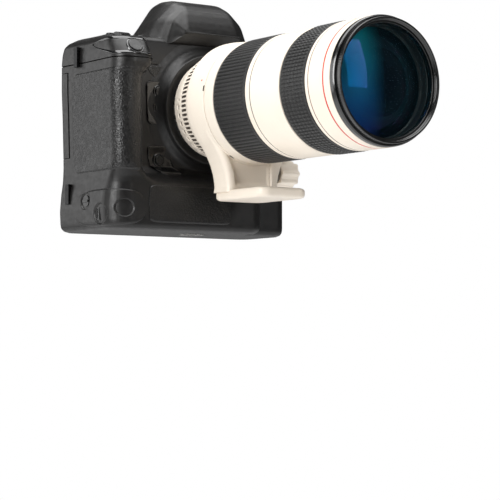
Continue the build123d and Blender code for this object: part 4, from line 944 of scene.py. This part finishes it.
class BodyForm:
    """Outside of the camera body, as a function of height and of the way round it.

    At each height the outline is a polygon of ten corners, each rounded with its own radius;
    places and radii are smooth functions of the height. The way round is the arc length from the
    point on the grip side at y = 0, positive towards the front.
    """

    STEPS = 13
    SPREAD = 2.3
    FAR = 7

    def __init__(self) -> None:
        """Smooth the stations: a running mean over five half-millimetre steps."""
        z = np.arange(0, 136.86, 0.4)
        table = np.stack([np.interp(z, STATIONS[:, 0], STATIONS[:, k])
                          for k in range(1, STATIONS.shape[1])], axis=-1)
        padded = np.concatenate([table[:1]] * 3 + [table] + [table[-1:]] * 3)
        kernel = np.array([1, 2, 3, 4, 3, 2, 1]) / 16
        smooth = sum(k * padded[i:i + len(table)] for i, k in enumerate(kernel))
        keep = np.clip((z - 3) / 3, 0, 1) * np.clip((133 - z) / 2, 0, 1)
        self.z = z
        self.table = table + (smooth - table) * keep[:, None]

    def outline(self, z: np.ndarray) -> tuple[np.ndarray, np.ndarray]:
        """Work out the outlines at some heights.

        Args:
            z: the heights.

        Returns:
            The outlines, heights x points x 2, and the arc length at each point.
        """
        w, ny, nr, ix, ir, cx, cy, cr, mx, my, mr, fy, e, n, rr = (
            np.interp(z, self.z, self.table[:, k]) for k in range(15))
        zero = np.zeros_like(w)
        corner = np.stack([np.stack(pair, -1) for pair in (
            (w, zero), (w, ny), (ix, ny), (cx, cy), (mx, my), (mx + 2.5, fy), (e, fy), (e, zero),
            (e, n), (w - self.SPREAD, n))], axis=1)
        size = np.stack([zero, nr, ir, cr, mr, zero + 2.5, zero + 9, zero, rr,
                         rr - 3.0], axis=1)
        path = round_corners(corner, size, self.STEPS).reshape(len(w), -1, 2)
        path = np.concatenate([path, path[:, :1]], axis=1)
        length = np.cumsum(np.linalg.norm(np.diff(path, axis=1), axis=2), axis=1)
        return path, np.concatenate([zero[:, None], length], axis=1)

    def at(self, s: np.ndarray, z: np.ndarray) -> np.ndarray:
        """Find points on the body.

        Args:
            s: arc lengths from the grip side's middle.
            z: heights, as many.

        Returns:
            The points, in the shape of s with a last axis of 3.
        """
        flat_s, flat_z = np.broadcast_arrays(s, z)
        shape = flat_s.shape
        flat_s, flat_z = flat_s.reshape(-1), flat_z.reshape(-1)
        path, length = self.outline(flat_z)
        want = np.mod(flat_s, length[:, -1])
        index = np.clip((length <= want[:, None]).sum(axis=1) - 1, 0, length.shape[1] - 2)
        row = np.arange(len(index))
        low, high = length[row, index], length[row, index + 1]
        share = ((want - low) / np.maximum(high - low, 1e-9))[:, None]
        plan = path[row, index] * (1 - share) + path[row, index + 1] * share
        return np.concatenate([plan, flat_z[:, None]], axis=1).reshape(*shape, 3)

    def normal(self, s: np.ndarray, z: np.ndarray) -> np.ndarray:
        """Find the outward normals at such points, from differences along and up."""
        d = 0.35
        along = self.at(s + d, z) - self.at(s - d, z)
        up = self.at(s, np.minimum(z + d, 136.8)) - self.at(s, np.maximum(z - d, 0))
        out = np.cross(along, up)
        return out / np.maximum(np.linalg.norm(out, axis=-1, keepdims=True), 1e-9)


def pad_profile(u: np.ndarray, v: np.ndarray, rim_u: float, rim_v: float) -> np.ndarray:
    """Height share of a pad: one inside, rolling off to zero at its border as a quarter circle."""
    def edge(t: np.ndarray, rim: float) -> np.ndarray:
        """Share along one way."""
        near = np.clip((1 - np.abs(t)) / rim, 0, 1)
        return np.sqrt(1 - (1 - near) ** 2)
    return edge(u, rim_u) * edge(v, rim_v)


@dataclass
class Body:
    """The camera's covers, grips, panels and prism hump."""

    form: BodyForm
    door_y: float = 22.2
    door_z: tuple[float, float] = (52.0, 112.0)
    door_east: float = -69.7
    door_floor: tuple[float, float] = (-85.4, 31.4)
    east_wall: float = 60.0
    battery_y: tuple[float, float] = (-11.3, 23.3)
    battery_z: tuple[float, float] = (5.2, 32.8)
    battery_depth: float = 58.5
    sockets_y: tuple[float, float] = (-8.3, 18.3)
    sockets_z: tuple[float, float] = (56.0, 106.0)
    sockets_depth: float = 2.1
    mount_r: float = 30.5
    lip: float = 3.0
    seam_gap: float = 0.45
    dial_xy: tuple[float, float] = (-72.0, -21.0)
    dial_half: tuple[float, float] = (5.4, 9.5)
    dial_depth: float = 5.5

    def ways(self, z: np.ndarray) -> np.ndarray:
        """Arc lengths for the shell's columns, with columns that line up with the openings."""
        length = self.form.outline(z)[1]
        far = length[:, self.form.FAR * self.form.STEPS][:, None]
        total = length[:, -1][:, None]
        near = np.arange(0, 15.1, 1.2)
        before = np.array([24, 22, 20, 18, 16, 14, 12.5, 11.45, 11.15, 9.8, 8.45, 8.15, 7, 5.5, 4,
                           2.6, 1.2])
        after = np.array([0, 1.5, 3, 5, 7, 9, 11, 13, 15, 16.8, 18.15, 18.45, 20, 21.6, 23.15,
                          23.45, 25, 27, 29, 31, 33, 35, 37, 39])
        last = np.concatenate([[50, 48, 46.5, 45.4, 45.0], np.arange(44, 23, -1.0),
                               [22.35, 22.05], np.arange(21, 0.9, -1.25)])
        middle = np.linspace(0, 1, 150)[1:-1]
        first = np.linspace(0, 1, 210)[1:-1]
        return np.concatenate([near + 0 * far, near[-1] + first * (far - 24 - near[-1]),
                               far - before, far + after,
                               far + 39 + middle * (total - 50 - far - 39), total - last], axis=1)

    def shell(self, z: np.ndarray) -> np.ndarray:
        """Points of the body at those heights, columns by ways()."""
        s = self.ways(z)
        return self.form.at(s, np.broadcast_to(z[:, None], s.shape))

    @staticmethod
    def inside(value: np.ndarray, limits: tuple[float, float]) -> np.ndarray:
        """Say where a value lies between two limits."""
        return (value > limits[0]) & (value < limits[1])

    def lower(self) -> None:
        """The covers below the seam, with pockets for the door, the battery and the sockets."""
        z = np.concatenate([[0, 0.3, 0.7, 1.2, 1.8, 2.6, 3.6], np.arange(4.6, 5.3, 0.3),
                            np.arange(6, 32, 1.1), [32.65, 32.95], np.arange(33.8, 51, 0.8),
                            [51.85, 52.15], np.arange(53, 55.5, 1), [55.85, 56.15],
                            np.arange(57.2, 105.5, 1.3), [105.85, 106.15],
                            np.arange(107, 111.6, 0.7), [111.85, 112.15],
                            np.arange(112.8, 116.4, 0.6), [116.6, 116.8, 116.8]])
        points = self.shell(z)
        x, y, h = points[..., 0], points[..., 1], points[..., 2]
        door = ((y > self.door_y - 0.3) & (x < self.door_east)
                & self.inside(h, self.door_z))
        east = x > self.east_wall
        battery = east & self.inside(y, self.battery_y) & self.inside(h, self.battery_z)
        sockets = east & self.inside(y, self.sockets_y) & self.inside(h, self.sockets_z)
        inner = points.copy()
        inner[..., 0] = np.where(door, np.clip(x, self.door_floor[0], None),
                                 x - self.battery_depth * battery - self.sockets_depth * sockets)
        inner[..., 1] = np.where(door, np.clip(y, None, self.door_floor[1]), y)
        pull = np.array([0.0] * (len(z) - 2) + [self.seam_gap, self.lip])[:, None]
        middle = np.array([-9.0, 0.0])
        inner[..., :2] -= (inner[..., :2] - middle) / 80 * pull[..., None]
        sculpt = Sculpt()
        mount = (np.hypot(x, h - AXIS_Z) < self.mount_r) & (y < -15)
        sculpt.grid(inner, around=True, skip=mount)
        self.lid(sculpt, inner[0], (0.0, 0.35, 0.45), True)
        sculpt.piece("lower_covers", "camera_body", (BODY_PAINT,),
                     ("front_cover", "rear_cover", "base_plate"))

    def lid(self, sculpt: Sculpt, rim: np.ndarray, rise: tuple[float, float, float],
            below: bool) -> None:
        """Close an outline with rows that shrink onto a line along the body.

        Each row moves the outline's points by a share of the way to the nearest point of the line
        from x = -62 to x = 55 at y = 5.

        Args:
            sculpt: what gets the grid.
            rim: the outline, points x 3.
            rise: how far the first three rows stand over the rim.
            below: whether the lid faces down.
        """
        share = np.array([0, 0.015, 0.03, 0.1, 0.25, 0.45, 0.7, 0.9, 1.0])
        goal = np.stack([np.clip(rim[:, 0] * 0.86, -66, 55), np.full(len(rim), 6.0), rim[:, 2]], -1)
        rows = rim[None] + (goal - rim)[None] * share[:, None, None]
        rows[..., 2] += np.interp(np.arange(len(share)), (0, 1, 2, 9), (*rise, rise[2]))[:, None]
        sculpt.grid(rows, around=True, flip=below)

    def upper(self) -> None:
        """The top cover above the seam, with a pocket round the front dial."""
        z = np.concatenate([[117.2, 117.2, 117.4, 118, 118.6], np.arange(119.2, 130, 0.8),
                            np.arange(130.2, 133, 0.35), np.arange(133.05, 136.8, 0.1), [136.85]])
        points = self.shell(z)
        pull = np.array([self.lip, self.seam_gap] + [0.0] * (len(z) - 2))[:, None]
        points[..., :2] -= (points[..., :2] - np.array([-9.0, 0.0])) / 80 * pull[..., None]
        x, y = points[..., 0], points[..., 1]
        dial = ((np.abs(x - self.dial_xy[0]) < self.dial_half[0])
                & (np.abs(y - self.dial_xy[1]) < self.dial_half[1]) & (points[..., 2] > 132))
        points[..., 2] = np.where(dial, points[..., 2] - self.dial_depth, points[..., 2])
        sculpt = Sculpt()
        sculpt.grid(points, around=True)
        self.lid(sculpt, points[-1], (0.0, 0.0, 0.0), False)
        sculpt.piece("top_cover_skin", "camera_body", (BODY_PAINT,), ("top_cover",))

    def pad(self, name: str, s: np.ndarray, z: np.ndarray, stand: float, rim: tuple[float, float],
            finish: Finish, sink: float = 0.6, body: str = "camera_body",
            replaces: Sequence[str] = (), dish: float = 0.0, level: float = 0.0,
            pits: Sequence[tuple[float, float, float, float, float]] = ()) -> None:
        """Build a closed pad on the skin.

        Args:
            name: the piece's name.
            s: arc lengths on a grid whose rows run from -1 to 1 up the pad.
            z: heights on that grid.
            stand: how far its middle stands out.
            rim: widths of the rolled border, as shares of the half height and half length.
            finish: its finish.
            sink: how far its underside lies below the skin.
            body: the body that it rides on.
            replaces: CAD nodes that it stands for.
            dish: how far its middle is hollowed.
            level: how far its border stands out.
            pits: round hollows, each a middle, a radius and a depth.
        """
        v, u = np.meshgrid(np.linspace(-1, 1, s.shape[0]), np.linspace(-1, 1, s.shape[1]),
                           indexing="ij")
        share = pad_profile(v, u, rim[0], rim[1])
        hollow = np.clip(1 - v ** 2, 0, 1) * np.clip(1 - u ** 8, 0, 1)
        height = level + stand * share - dish * hollow
        base, out = self.form.at(s, z), self.form.normal(s, z)
        for *middle, radius, depth in pits:
            away = np.linalg.norm(base - np.array(middle), axis=-1)
            height = height - depth * np.clip((radius - away) / 0.9 + 0.5, 0, 1)
        top, under = base + out * height[..., None], base - out * sink
        sculpt = Sculpt()
        sculpt.grid(top)
        sculpt.grid(under, flip=True)
        for edge_top, edge_under, turn in ((top[0], under[0], False), (top[-1], under[-1], True),
                                           (top[:, 0], under[:, 0], True),
                                           (top[:, -1], under[:, -1], False)):
            sculpt.grid(np.stack([edge_under, edge_top]), flip=turn)
        sculpt.piece(name, body, (finish,), replaces, angle=50)

    @staticmethod
    def region(s0: float, s1: float, z0: float, z1: float, rows: int, cols: int,
               power: float = 0.0) -> tuple[np.ndarray, np.ndarray]:
        """Make a pad's grid of arc lengths and heights between limits.

        With a power p the ends close as a superellipse: the height's half range is multiplied by
        (1 - |u|^p)^(1/p), where u runs from -1 to 1 along the pad.

        Args:
            s0: arc length where it starts.
            s1: arc length where it ends.
            z0: its lowest height.
            z1: its highest height.
            rows: rows of points up the pad.
            cols: columns of points along it.
            power: the superellipse's power, or 0 for straight ends.

        Returns:
            The arc lengths and the heights.
        """
        v, u = np.meshgrid(np.linspace(-1, 1, rows), np.linspace(-1, 1, cols), indexing="ij")
        half = (z1 - z0) / 2
        if power:
            u = np.sin(u * math.pi / 2)
            half = half * np.maximum(1 - np.abs(u) ** power, 0.0) ** (1 / power)
        return s0 + (s1 - s0) * (u + 1) / 2, (z0 + z1) / 2 + half * v

    def pads(self) -> None:
        """The leather, the low grip's panel, the card door and the glossy release panel."""
        z = np.linspace(-1, 1, 90)[:, None]
        u = np.linspace(-1, 1, 200)[None, :]
        height = 75.3 + z * 34.8 + 0 * u   # 0 * u spreads it over the columns
        flare = np.clip((52 - height) / 12, 0, 1) ** 1.5
        ends = 76.5 + 12 * flare
        curve = 5.5 * np.clip(np.abs(z), 0, 1) ** 8
        start = curve - 17.0
        s = start + (ends - curve - start) * (u + 1) / 2
        self.pad("grip_leather", s, height, 0.5, (0.04, 0.03), LEATHER, replaces=("grip_rubber",))
        s, height = self.region(61.0, 128.0, 5.2, 31.0, 40, 90, 12.0)
        self.pad("low_grip_leather", s, height, 0.6, (0.08, 0.04), LEATHER,
                 replaces=("base_rubber",))
        s, height = self.region(-9.5, 57.5, 2.4, 27.8, 80, 200, 3.4)
        self.pad("low_grip_panel", s, height, 1.1, (0.16, 0.06), BODY_PAINT, pits=(
            (-78.0, -35.7, 14.5, 6.4, 1.5), (-88.9, -3.0, 20.5, 5.6, 1.5),
            (-87.6, -22.5, 10.8, 7.0, 1.5)))
        s, height = self.region(-47.4, -22.6, self.door_z[0] + 0.3, self.door_z[1] - 0.3, 60, 60)
        self.pad("card_door_skin", s, height, 0.0, (0.02, 0.03), BODY_PAINT, 2.0, "card_door",
                 ("card_door",))
        u = np.sin(np.linspace(-1, 1, 110) * math.pi / 2)[None, :]
        v = np.linspace(-1, 1, 34)[:, None]
        reach = (u + 1) / 2
        low = 128.2 - 9.2 * np.clip(reach / 0.42, 0, 1) ** 0.75 + 0 * v
        high = 128.4 + 3.6 * np.clip(reach / 0.3, 0, 1) ** 0.7
        end = np.clip((1 - reach) / 0.06, 0, 1)
        round_end = np.sqrt(1 - (1 - end) ** 2)
        mid, half = (low + high) / 2, (high - low) / 2 * (0.35 + 0.65 * round_end)
        self.pad("release_panel", 9 + 62.5 * reach + 0 * v, mid + half * v, 0.9, (0.22, 0.05),
                 GLOSS_BLACK, dish=1.9, level=0.15,
                 pits=((-73.0, -41.6, 125.0, 6.2, 1.6),))
        s, height = self.region(99.5, 113.5, 106.6, 115.8, 20, 26, 8.0)
        self.pad("front_leather_patch", s, height, 0.5, (0.15, 0.15), LEATHER)
        s, height = self.region(90.5, 109.5, 74.5, 105.4, 40, 40, 7.0)
        self.pad("upper_key_panel", s, height, 1.5, (0.1, 0.14), GLOSS_BLACK, dish=1.4)
        s, height = self.region(90.5, 109.5, 39.8, 60.5, 34, 40, 7.0)
        self.pad("lower_key_panel", s, height, 1.5, (0.14, 0.14), GLOSS_BLACK, dish=1.4)

    def hump(self) -> None:
        """The prism hump: rounded six-cornered sections carried along the body.

        Foot, shoulder and top half-widths and heights are functions of y, read from stations.
        """
        # y; foot half-width and height; shoulder half-width and height; top half-width and height.
        rows = np.array((
            (-27.7, 21.5, 139.8, 21.0, 140.4, 20.0, 141.0),
            (-27.2, 23.4, 139.0, 22.4, 141.0, 20.4, 143.4),
            (-25.0, 26.5, 136.6, 24.6, 143.5, 20.6, 148.6),
            (-22.0, 31.0, 133.0, 27.4, 147.0, 20.4, 154.4),
            (-20.0, 34.0, 132.4, 29.0, 149.0, 20.0, 157.6),
            (-16.0, 38.5, 132.0, 31.8, 150.4, 19.4, 161.4),
            (-8.0, 43.5, 132.0, 35.2, 150.4, 19.4, 165.2),
            (0.0, 46.0, 132.0, 36.8, 149.4, 20.2, 167.0),
            (10.0, 47.0, 132.0, 37.4, 148.0, 21.0, 167.6),
            (20.0, 43.0, 132.0, 33.8, 147.2, 20.0, 166.6),
            (29.0, 36.5, 132.0, 29.5, 147.0, 17.6, 162.0),
            (33.4, 31.0, 132.0, 26.5, 146.0, 15.8, 157.6)))
        y = np.concatenate([np.linspace(-27.7, -20, 24), np.linspace(-19.2, 33.4, 66)])
        foot, low, mid, mid_z, top, top_z = (np.interp(y, rows[:, 0], rows[:, k])
                                             for k in range(1, 7))
        kernel = np.array([1, 2, 3, 2, 1]) / 9

        def soft(a: np.ndarray) -> np.ndarray:
            """Running mean of a row of values."""
            wide = np.concatenate([a[:1]] * 2 + [a] + [a[-1:]] * 2)
            return sum(k * wide[i:i + len(a)] for i, k in enumerate(kernel))
        foot, low, mid, mid_z, top, top_z = (soft(a) for a in (foot, low, mid, mid_z, top, top_z))
        flare_z = np.maximum(low + 0.4, np.minimum(137.6, mid_z - 1))
        corner = np.stack([np.stack(pair, -1) for pair in (
            (-foot, low), (-foot + 1.5, flare_z), (-mid, mid_z), (-top, top_z), (top, top_z),
            (mid, mid_z), (foot - 1.5, flare_z), (foot, low))], axis=1)
        size = np.stack([0 * y, 0 * y + 8, np.interp(y, (-27, -15), (2, 16)),
                         np.interp(y, (-27, -18), (2, 11)), np.interp(y, (-27, -18), (2, 11)),
                         np.interp(y, (-27, -15), (2, 16)), 0 * y + 8, 0 * y], axis=1)
        loop = round_corners(corner, size, 10).reshape(len(y), -1, 2)
        length = np.concatenate([np.zeros((len(y), 1)), np.cumsum(
            np.linalg.norm(np.diff(loop, axis=1), axis=2), axis=1)], axis=1)
        even = np.linspace(0, 1, 170)
        plan = np.stack([np.stack([np.interp(even, n / n[-1], row[:, k]) for k in (0, 1)], -1)
                         for n, row in zip(length, loop)])
        x, z = plan[..., 0], plan[..., 1]
        depth = np.broadcast_to(y[:, None], x.shape)
        bed = (np.abs(x) < 12.3) & (depth > 9.0) & (z > 159.0)
        z = np.where(bed, 158.9, z)
        points = np.stack([x, depth, z], axis=-1)
        sculpt = Sculpt()
        sculpt.grid(points, around=True, cap_start=True, cap_end=True)
        sculpt.piece("prism_hump", "camera_body", (BODY_PAINT,), ("prism_cover",), angle=60)
        edge = np.array(((-23.0, -24.5, 140.5), (23.0, -24.5, 140.5)))
        t = np.linspace(0, 1, 40)[:, None]
        run = edge[0] * (1 - t) + edge[1] * t
        around = np.linspace(0, TURN, 10, endpoint=False)
        bead = run[:, None] + np.stack([0 * around, 0.5 * np.cos(around) - 3.4,
                                        0.5 * np.sin(around)], -1)[None]
        sculpt = Sculpt()
        sculpt.grid(bead, around=True, cap_start=True, cap_end=True)
        sculpt.piece("nameplate_lip", "camera_body", (BODY_PAINT,))

    def shroud(self) -> None:
        """The swelling round the lens mount: a concave cone from the front wall to the mount."""
        corners = ((-12.0, 52.0), (-10.0, 51.5), (-8.6, 44.0), (-5.0, 40.2), (-2.5, 38.6),
                   (-2.5, 33.0), (-12.0, 33.0))
        sculpt = Sculpt()
        turned(sculpt, densify(rounded(corners, (0, 1, 8, 6, 1, 0, 0), closed=True), 0.8), 160)
        sculpt.piece("mount_shroud", "camera_body", (BODY_PAINT,))

    def build(self) -> None:
        """Build every cover, pad and panel of the body."""
        self.lower()
        self.upper()
        self.pads()
        self.hump()
        self.shroud()


# ---- keys, dials and the rest of the frame -----------------------------------------------

@dataclass
class Trim:
    """Finishes for the CAD nodes that stay, and the dark wells round the keys."""

    def dress(self) -> None:
        """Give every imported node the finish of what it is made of."""
        groups = {
            STEEL: ("tripod_socket", "accessory_shoe", "mount_ring", "lens_bayonet",
                    "shutter_blades"),
            DARK_STEEL: ("strap_lugs",),
            INNER_METAL: ("mirror_box", "shutter_frame", "image_sensor"),
            DISPLAY: ("top_display", "rear_screen"),
            EYE_GLASS: ("eyepiece_lens", "focusing_screen", "pentaprism"),
            FILTER_GLASS: ("filter_glass",),
            FRONT_GLASS: ("front_element",),
            MIRROR: ("mirror",),
            RING_RUBBER: ("eyecup", "terminal_cover", "zoom_rubber", "focus_rubber"),
            CELL_BLACK: ("zoom_group", "focus_group", "battery_pack"),
            CREAM: ("rear_barrel", "main_tube", "middle_barrel", "front_barrel", "tripod_collar",
                    "collar_knob", "focus_switch"),
            ANODISED: ("front_ring", "filter_ring", "zoom_ring", "focus_ring"),
            LEATHER: ("grip_rubber", "base_rubber"),
            BODY_PAINT: ("front_cover", "rear_cover", "top_cover", "prism_cover", "base_plate",
                         "card_door"),
        }
        finish_of = {node: finish for finish, nodes in groups.items() for node in nodes}
        for name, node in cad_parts.items():
            finish = finish_of.get(name, KEY_BLACK)
            node.data.materials.clear()
            node.data.materials.append(made(finish))
        LOG.info("dressed %d packed nodes", len(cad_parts))

    def well(self, name: str, centre: Vector, out: Vector, inner: float, outer: float,
             finish: Finish = GLOSS_BLACK, stand: float = 0.7) -> None:
        """Build a rounded ring round a key, standing a little proud of the skin.

        Args:
            name: the piece's name.
            centre: the key's middle on the skin.
            out: the way that the key faces.
            inner: radius of the hole.
            outer: radius outside.
            finish: its finish.
            stand: how far it stands out.
        """
        corners = ((-1.5, inner), (stand, inner), (stand, (inner + outer) / 2), (-1.5, outer))
        path = rounded(corners, (0, 0.3, 1.0, 0), closed=True)
        turn = out.to_track_quat("Z", "Y").to_matrix()
        angle = np.linspace(0, TURN, 48, endpoint=False)
        along, spin = np.meshgrid(path[:, 0], angle, indexing="ij")
        radius = np.broadcast_to(path[:, 1][:, None], along.shape)
        local = np.stack([radius * np.cos(spin), radius * np.sin(spin), along], axis=-1)
        sculpt = Sculpt()
        sculpt.grid(local @ np.array(turn).T + np.array(centre), around=True, up=True, flip=True)
        sculpt.piece(name, "camera_body", (finish,))

    def wells(self) -> None:
        """Rings round the front keys, the release and the low release."""
        for name in ("upper_function_button", "middle_function_button", "lower_function_button"):
            low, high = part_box(name)
            middle = (low + high) / 2 / MM
            self.well(name + "_ring", Vector((middle.x, -20.4, middle.z)), Vector((0, -1, 0)),
                      3.7, 5.4, GLOSS_BLACK, 1.2)
        self.well("release_ring", Vector((-73.0, -41.2, 125.0)), Vector((0, -0.8, 0.6)), 5.6, 7.4,
                  GLOSS_BLACK, 0.5)
        out = Vector((-math.cos(math.radians(56)), -math.sin(math.radians(56)), 0))
        self.well("low_release_ring", Vector((-63.0, -15.0, 14.5)) + out * 25.2, out, 5.3, 7.2,
                  GLOSS_BLACK, 1.5)
        low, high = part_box("lens_release_button")
        middle = (low + high) / 2 / MM
        self.well("lens_release_ring", Vector((middle.x, -20.4, middle.z)), Vector((0, -1, 0)),
                  6.5, 8.4, GLOSS_BLACK, 1.2)

    def build(self) -> None:
        """Dress the nodes and add the rings."""
        self.dress()
        self.wells()


# ---- stage -------------------------------------------------------------------------------

@dataclass
class Stage:
    """Pale floor, soft lamps and the camera."""

    eye: tuple[float, float, float] = (-0.8146, -1.2426, -0.0840)
    right: tuple[float, float, float] = (0.820512, -0.571629, 0.0)
    down: tuple[float, float, float] = (0.028197, 0.040474, -0.998783)
    ahead: tuple[float, float, float] = (0.570934, 0.819513, 0.049328)
    lens: float = 149.81
    floor_z: float = -0.55

    def camera(self) -> None:
        """Make the camera from its place and its three axes."""
        data = bpy.data.cameras.new("view")
        data.lens, data.sensor_width = self.lens, 36.0
        data.clip_start, data.clip_end = 0.05, 60.0
        camera = bpy.data.objects.new("view", data)
        bpy.context.scene.collection.objects.link(camera)
        axes = np.eye(4)
        axes[:3, 0] = self.right
        axes[:3, 1] = -np.array(self.down)
        axes[:3, 2] = -np.array(self.ahead)
        axes[:3, 3] = self.eye
        camera.matrix_world = Matrix(axes.tolist())
        bpy.context.scene.camera = camera

    def floor(self) -> None:
        """Make the floor: a flat square grid, six metres a side."""
        t = np.linspace(-3000, 3000, 9)
        x, y = np.meshgrid(t, t, indexing="ij")
        sculpt = Sculpt()
        sculpt.grid(np.stack([x, y, np.full_like(x, self.floor_z / MM)], axis=-1))
        mesh = bpy.data.meshes.new("floor")
        mesh.from_pydata((np.concatenate(sculpt.points) * MM).tolist(), [], sculpt.faces)
        floor = bpy.data.objects.new("floor", mesh)
        bpy.context.scene.collection.objects.link(floor)
        mesh.materials.append(made(Finish("matt_white_paper", "floor", "FFFFFF", "FBFBFB",
                                          (0.85, 0.95), grain_mm=3.0, relief_mm=0.02,
                                          mottle_mm=900.0)))

    def lamp(self, name: str, place: tuple[float, float, float], size: tuple[float, float],
             power: float) -> None:
        """Make one softbox that looks at the object's middle."""
        data = bpy.data.lights.new(name, "AREA")
        data.shape, data.size, data.size_y, data.energy = "RECTANGLE", *size, power
        lamp = bpy.data.objects.new(name, data)
        bpy.context.scene.collection.objects.link(lamp)
        way = Vector((0.0, -0.08, 0.09)) - Vector(place)
        lamp.matrix_world = (Matrix.Translation(place)
                             @ way.to_track_quat("-Z", "Y").to_matrix().to_4x4())

    def build(self) -> None:
        """Make the whole stage."""
        scene = bpy.context.scene
        world = bpy.data.worlds.new("studio")
        scene.world = world
        world.use_nodes = True
        tree = world.node_tree
        tree.nodes.clear()
        path = add_node(tree, "ShaderNodeLightPath")
        seen = add_node(tree, "ShaderNodeBackground", None,
                        {"Color": (1, 1, 1, 1), "Strength": 1.0})
        fill = add_node(tree, "ShaderNodeBackground", None,
                        {"Color": (0.97, 0.98, 1, 1), "Strength": 0.06})
        mix = add_node(tree, "ShaderNodeMixShader", None,
                       {0: path.outputs["Is Camera Ray"], 1: fill.outputs[0], 2: seen.outputs[0]})
        add_node(tree, "ShaderNodeOutputWorld", None, {"Surface": mix.outputs[0]})
        scene.view_settings.view_transform = "Standard"
        self.lamp("top", (-0.1, -0.15, 1.5), (1.8, 1.8), 44.0)
        self.lamp("west", (-1.5, -0.5, 0.5), (0.5, 1.1), 20.0)
        self.lamp("front", (0.5, -1.7, 0.6), (0.45, 0.9), 6.0)
        self.lamp("rim", (-1.3, 1.5, 0.35), (1.3, 1.3), 10.0)
        self.floor()
        self.camera()


def main() -> None:
    """Build the stage, the lens, the collar, the body and the trim."""
    logging.basicConfig(level=logging.INFO, format="%(name)s: %(message)s")
    Stage().build()
    Trim().build()
    Barrels().build()
    TripodCollar().build()
    Body(BodyForm()).build()


if __name__ == "__main__":
    main()
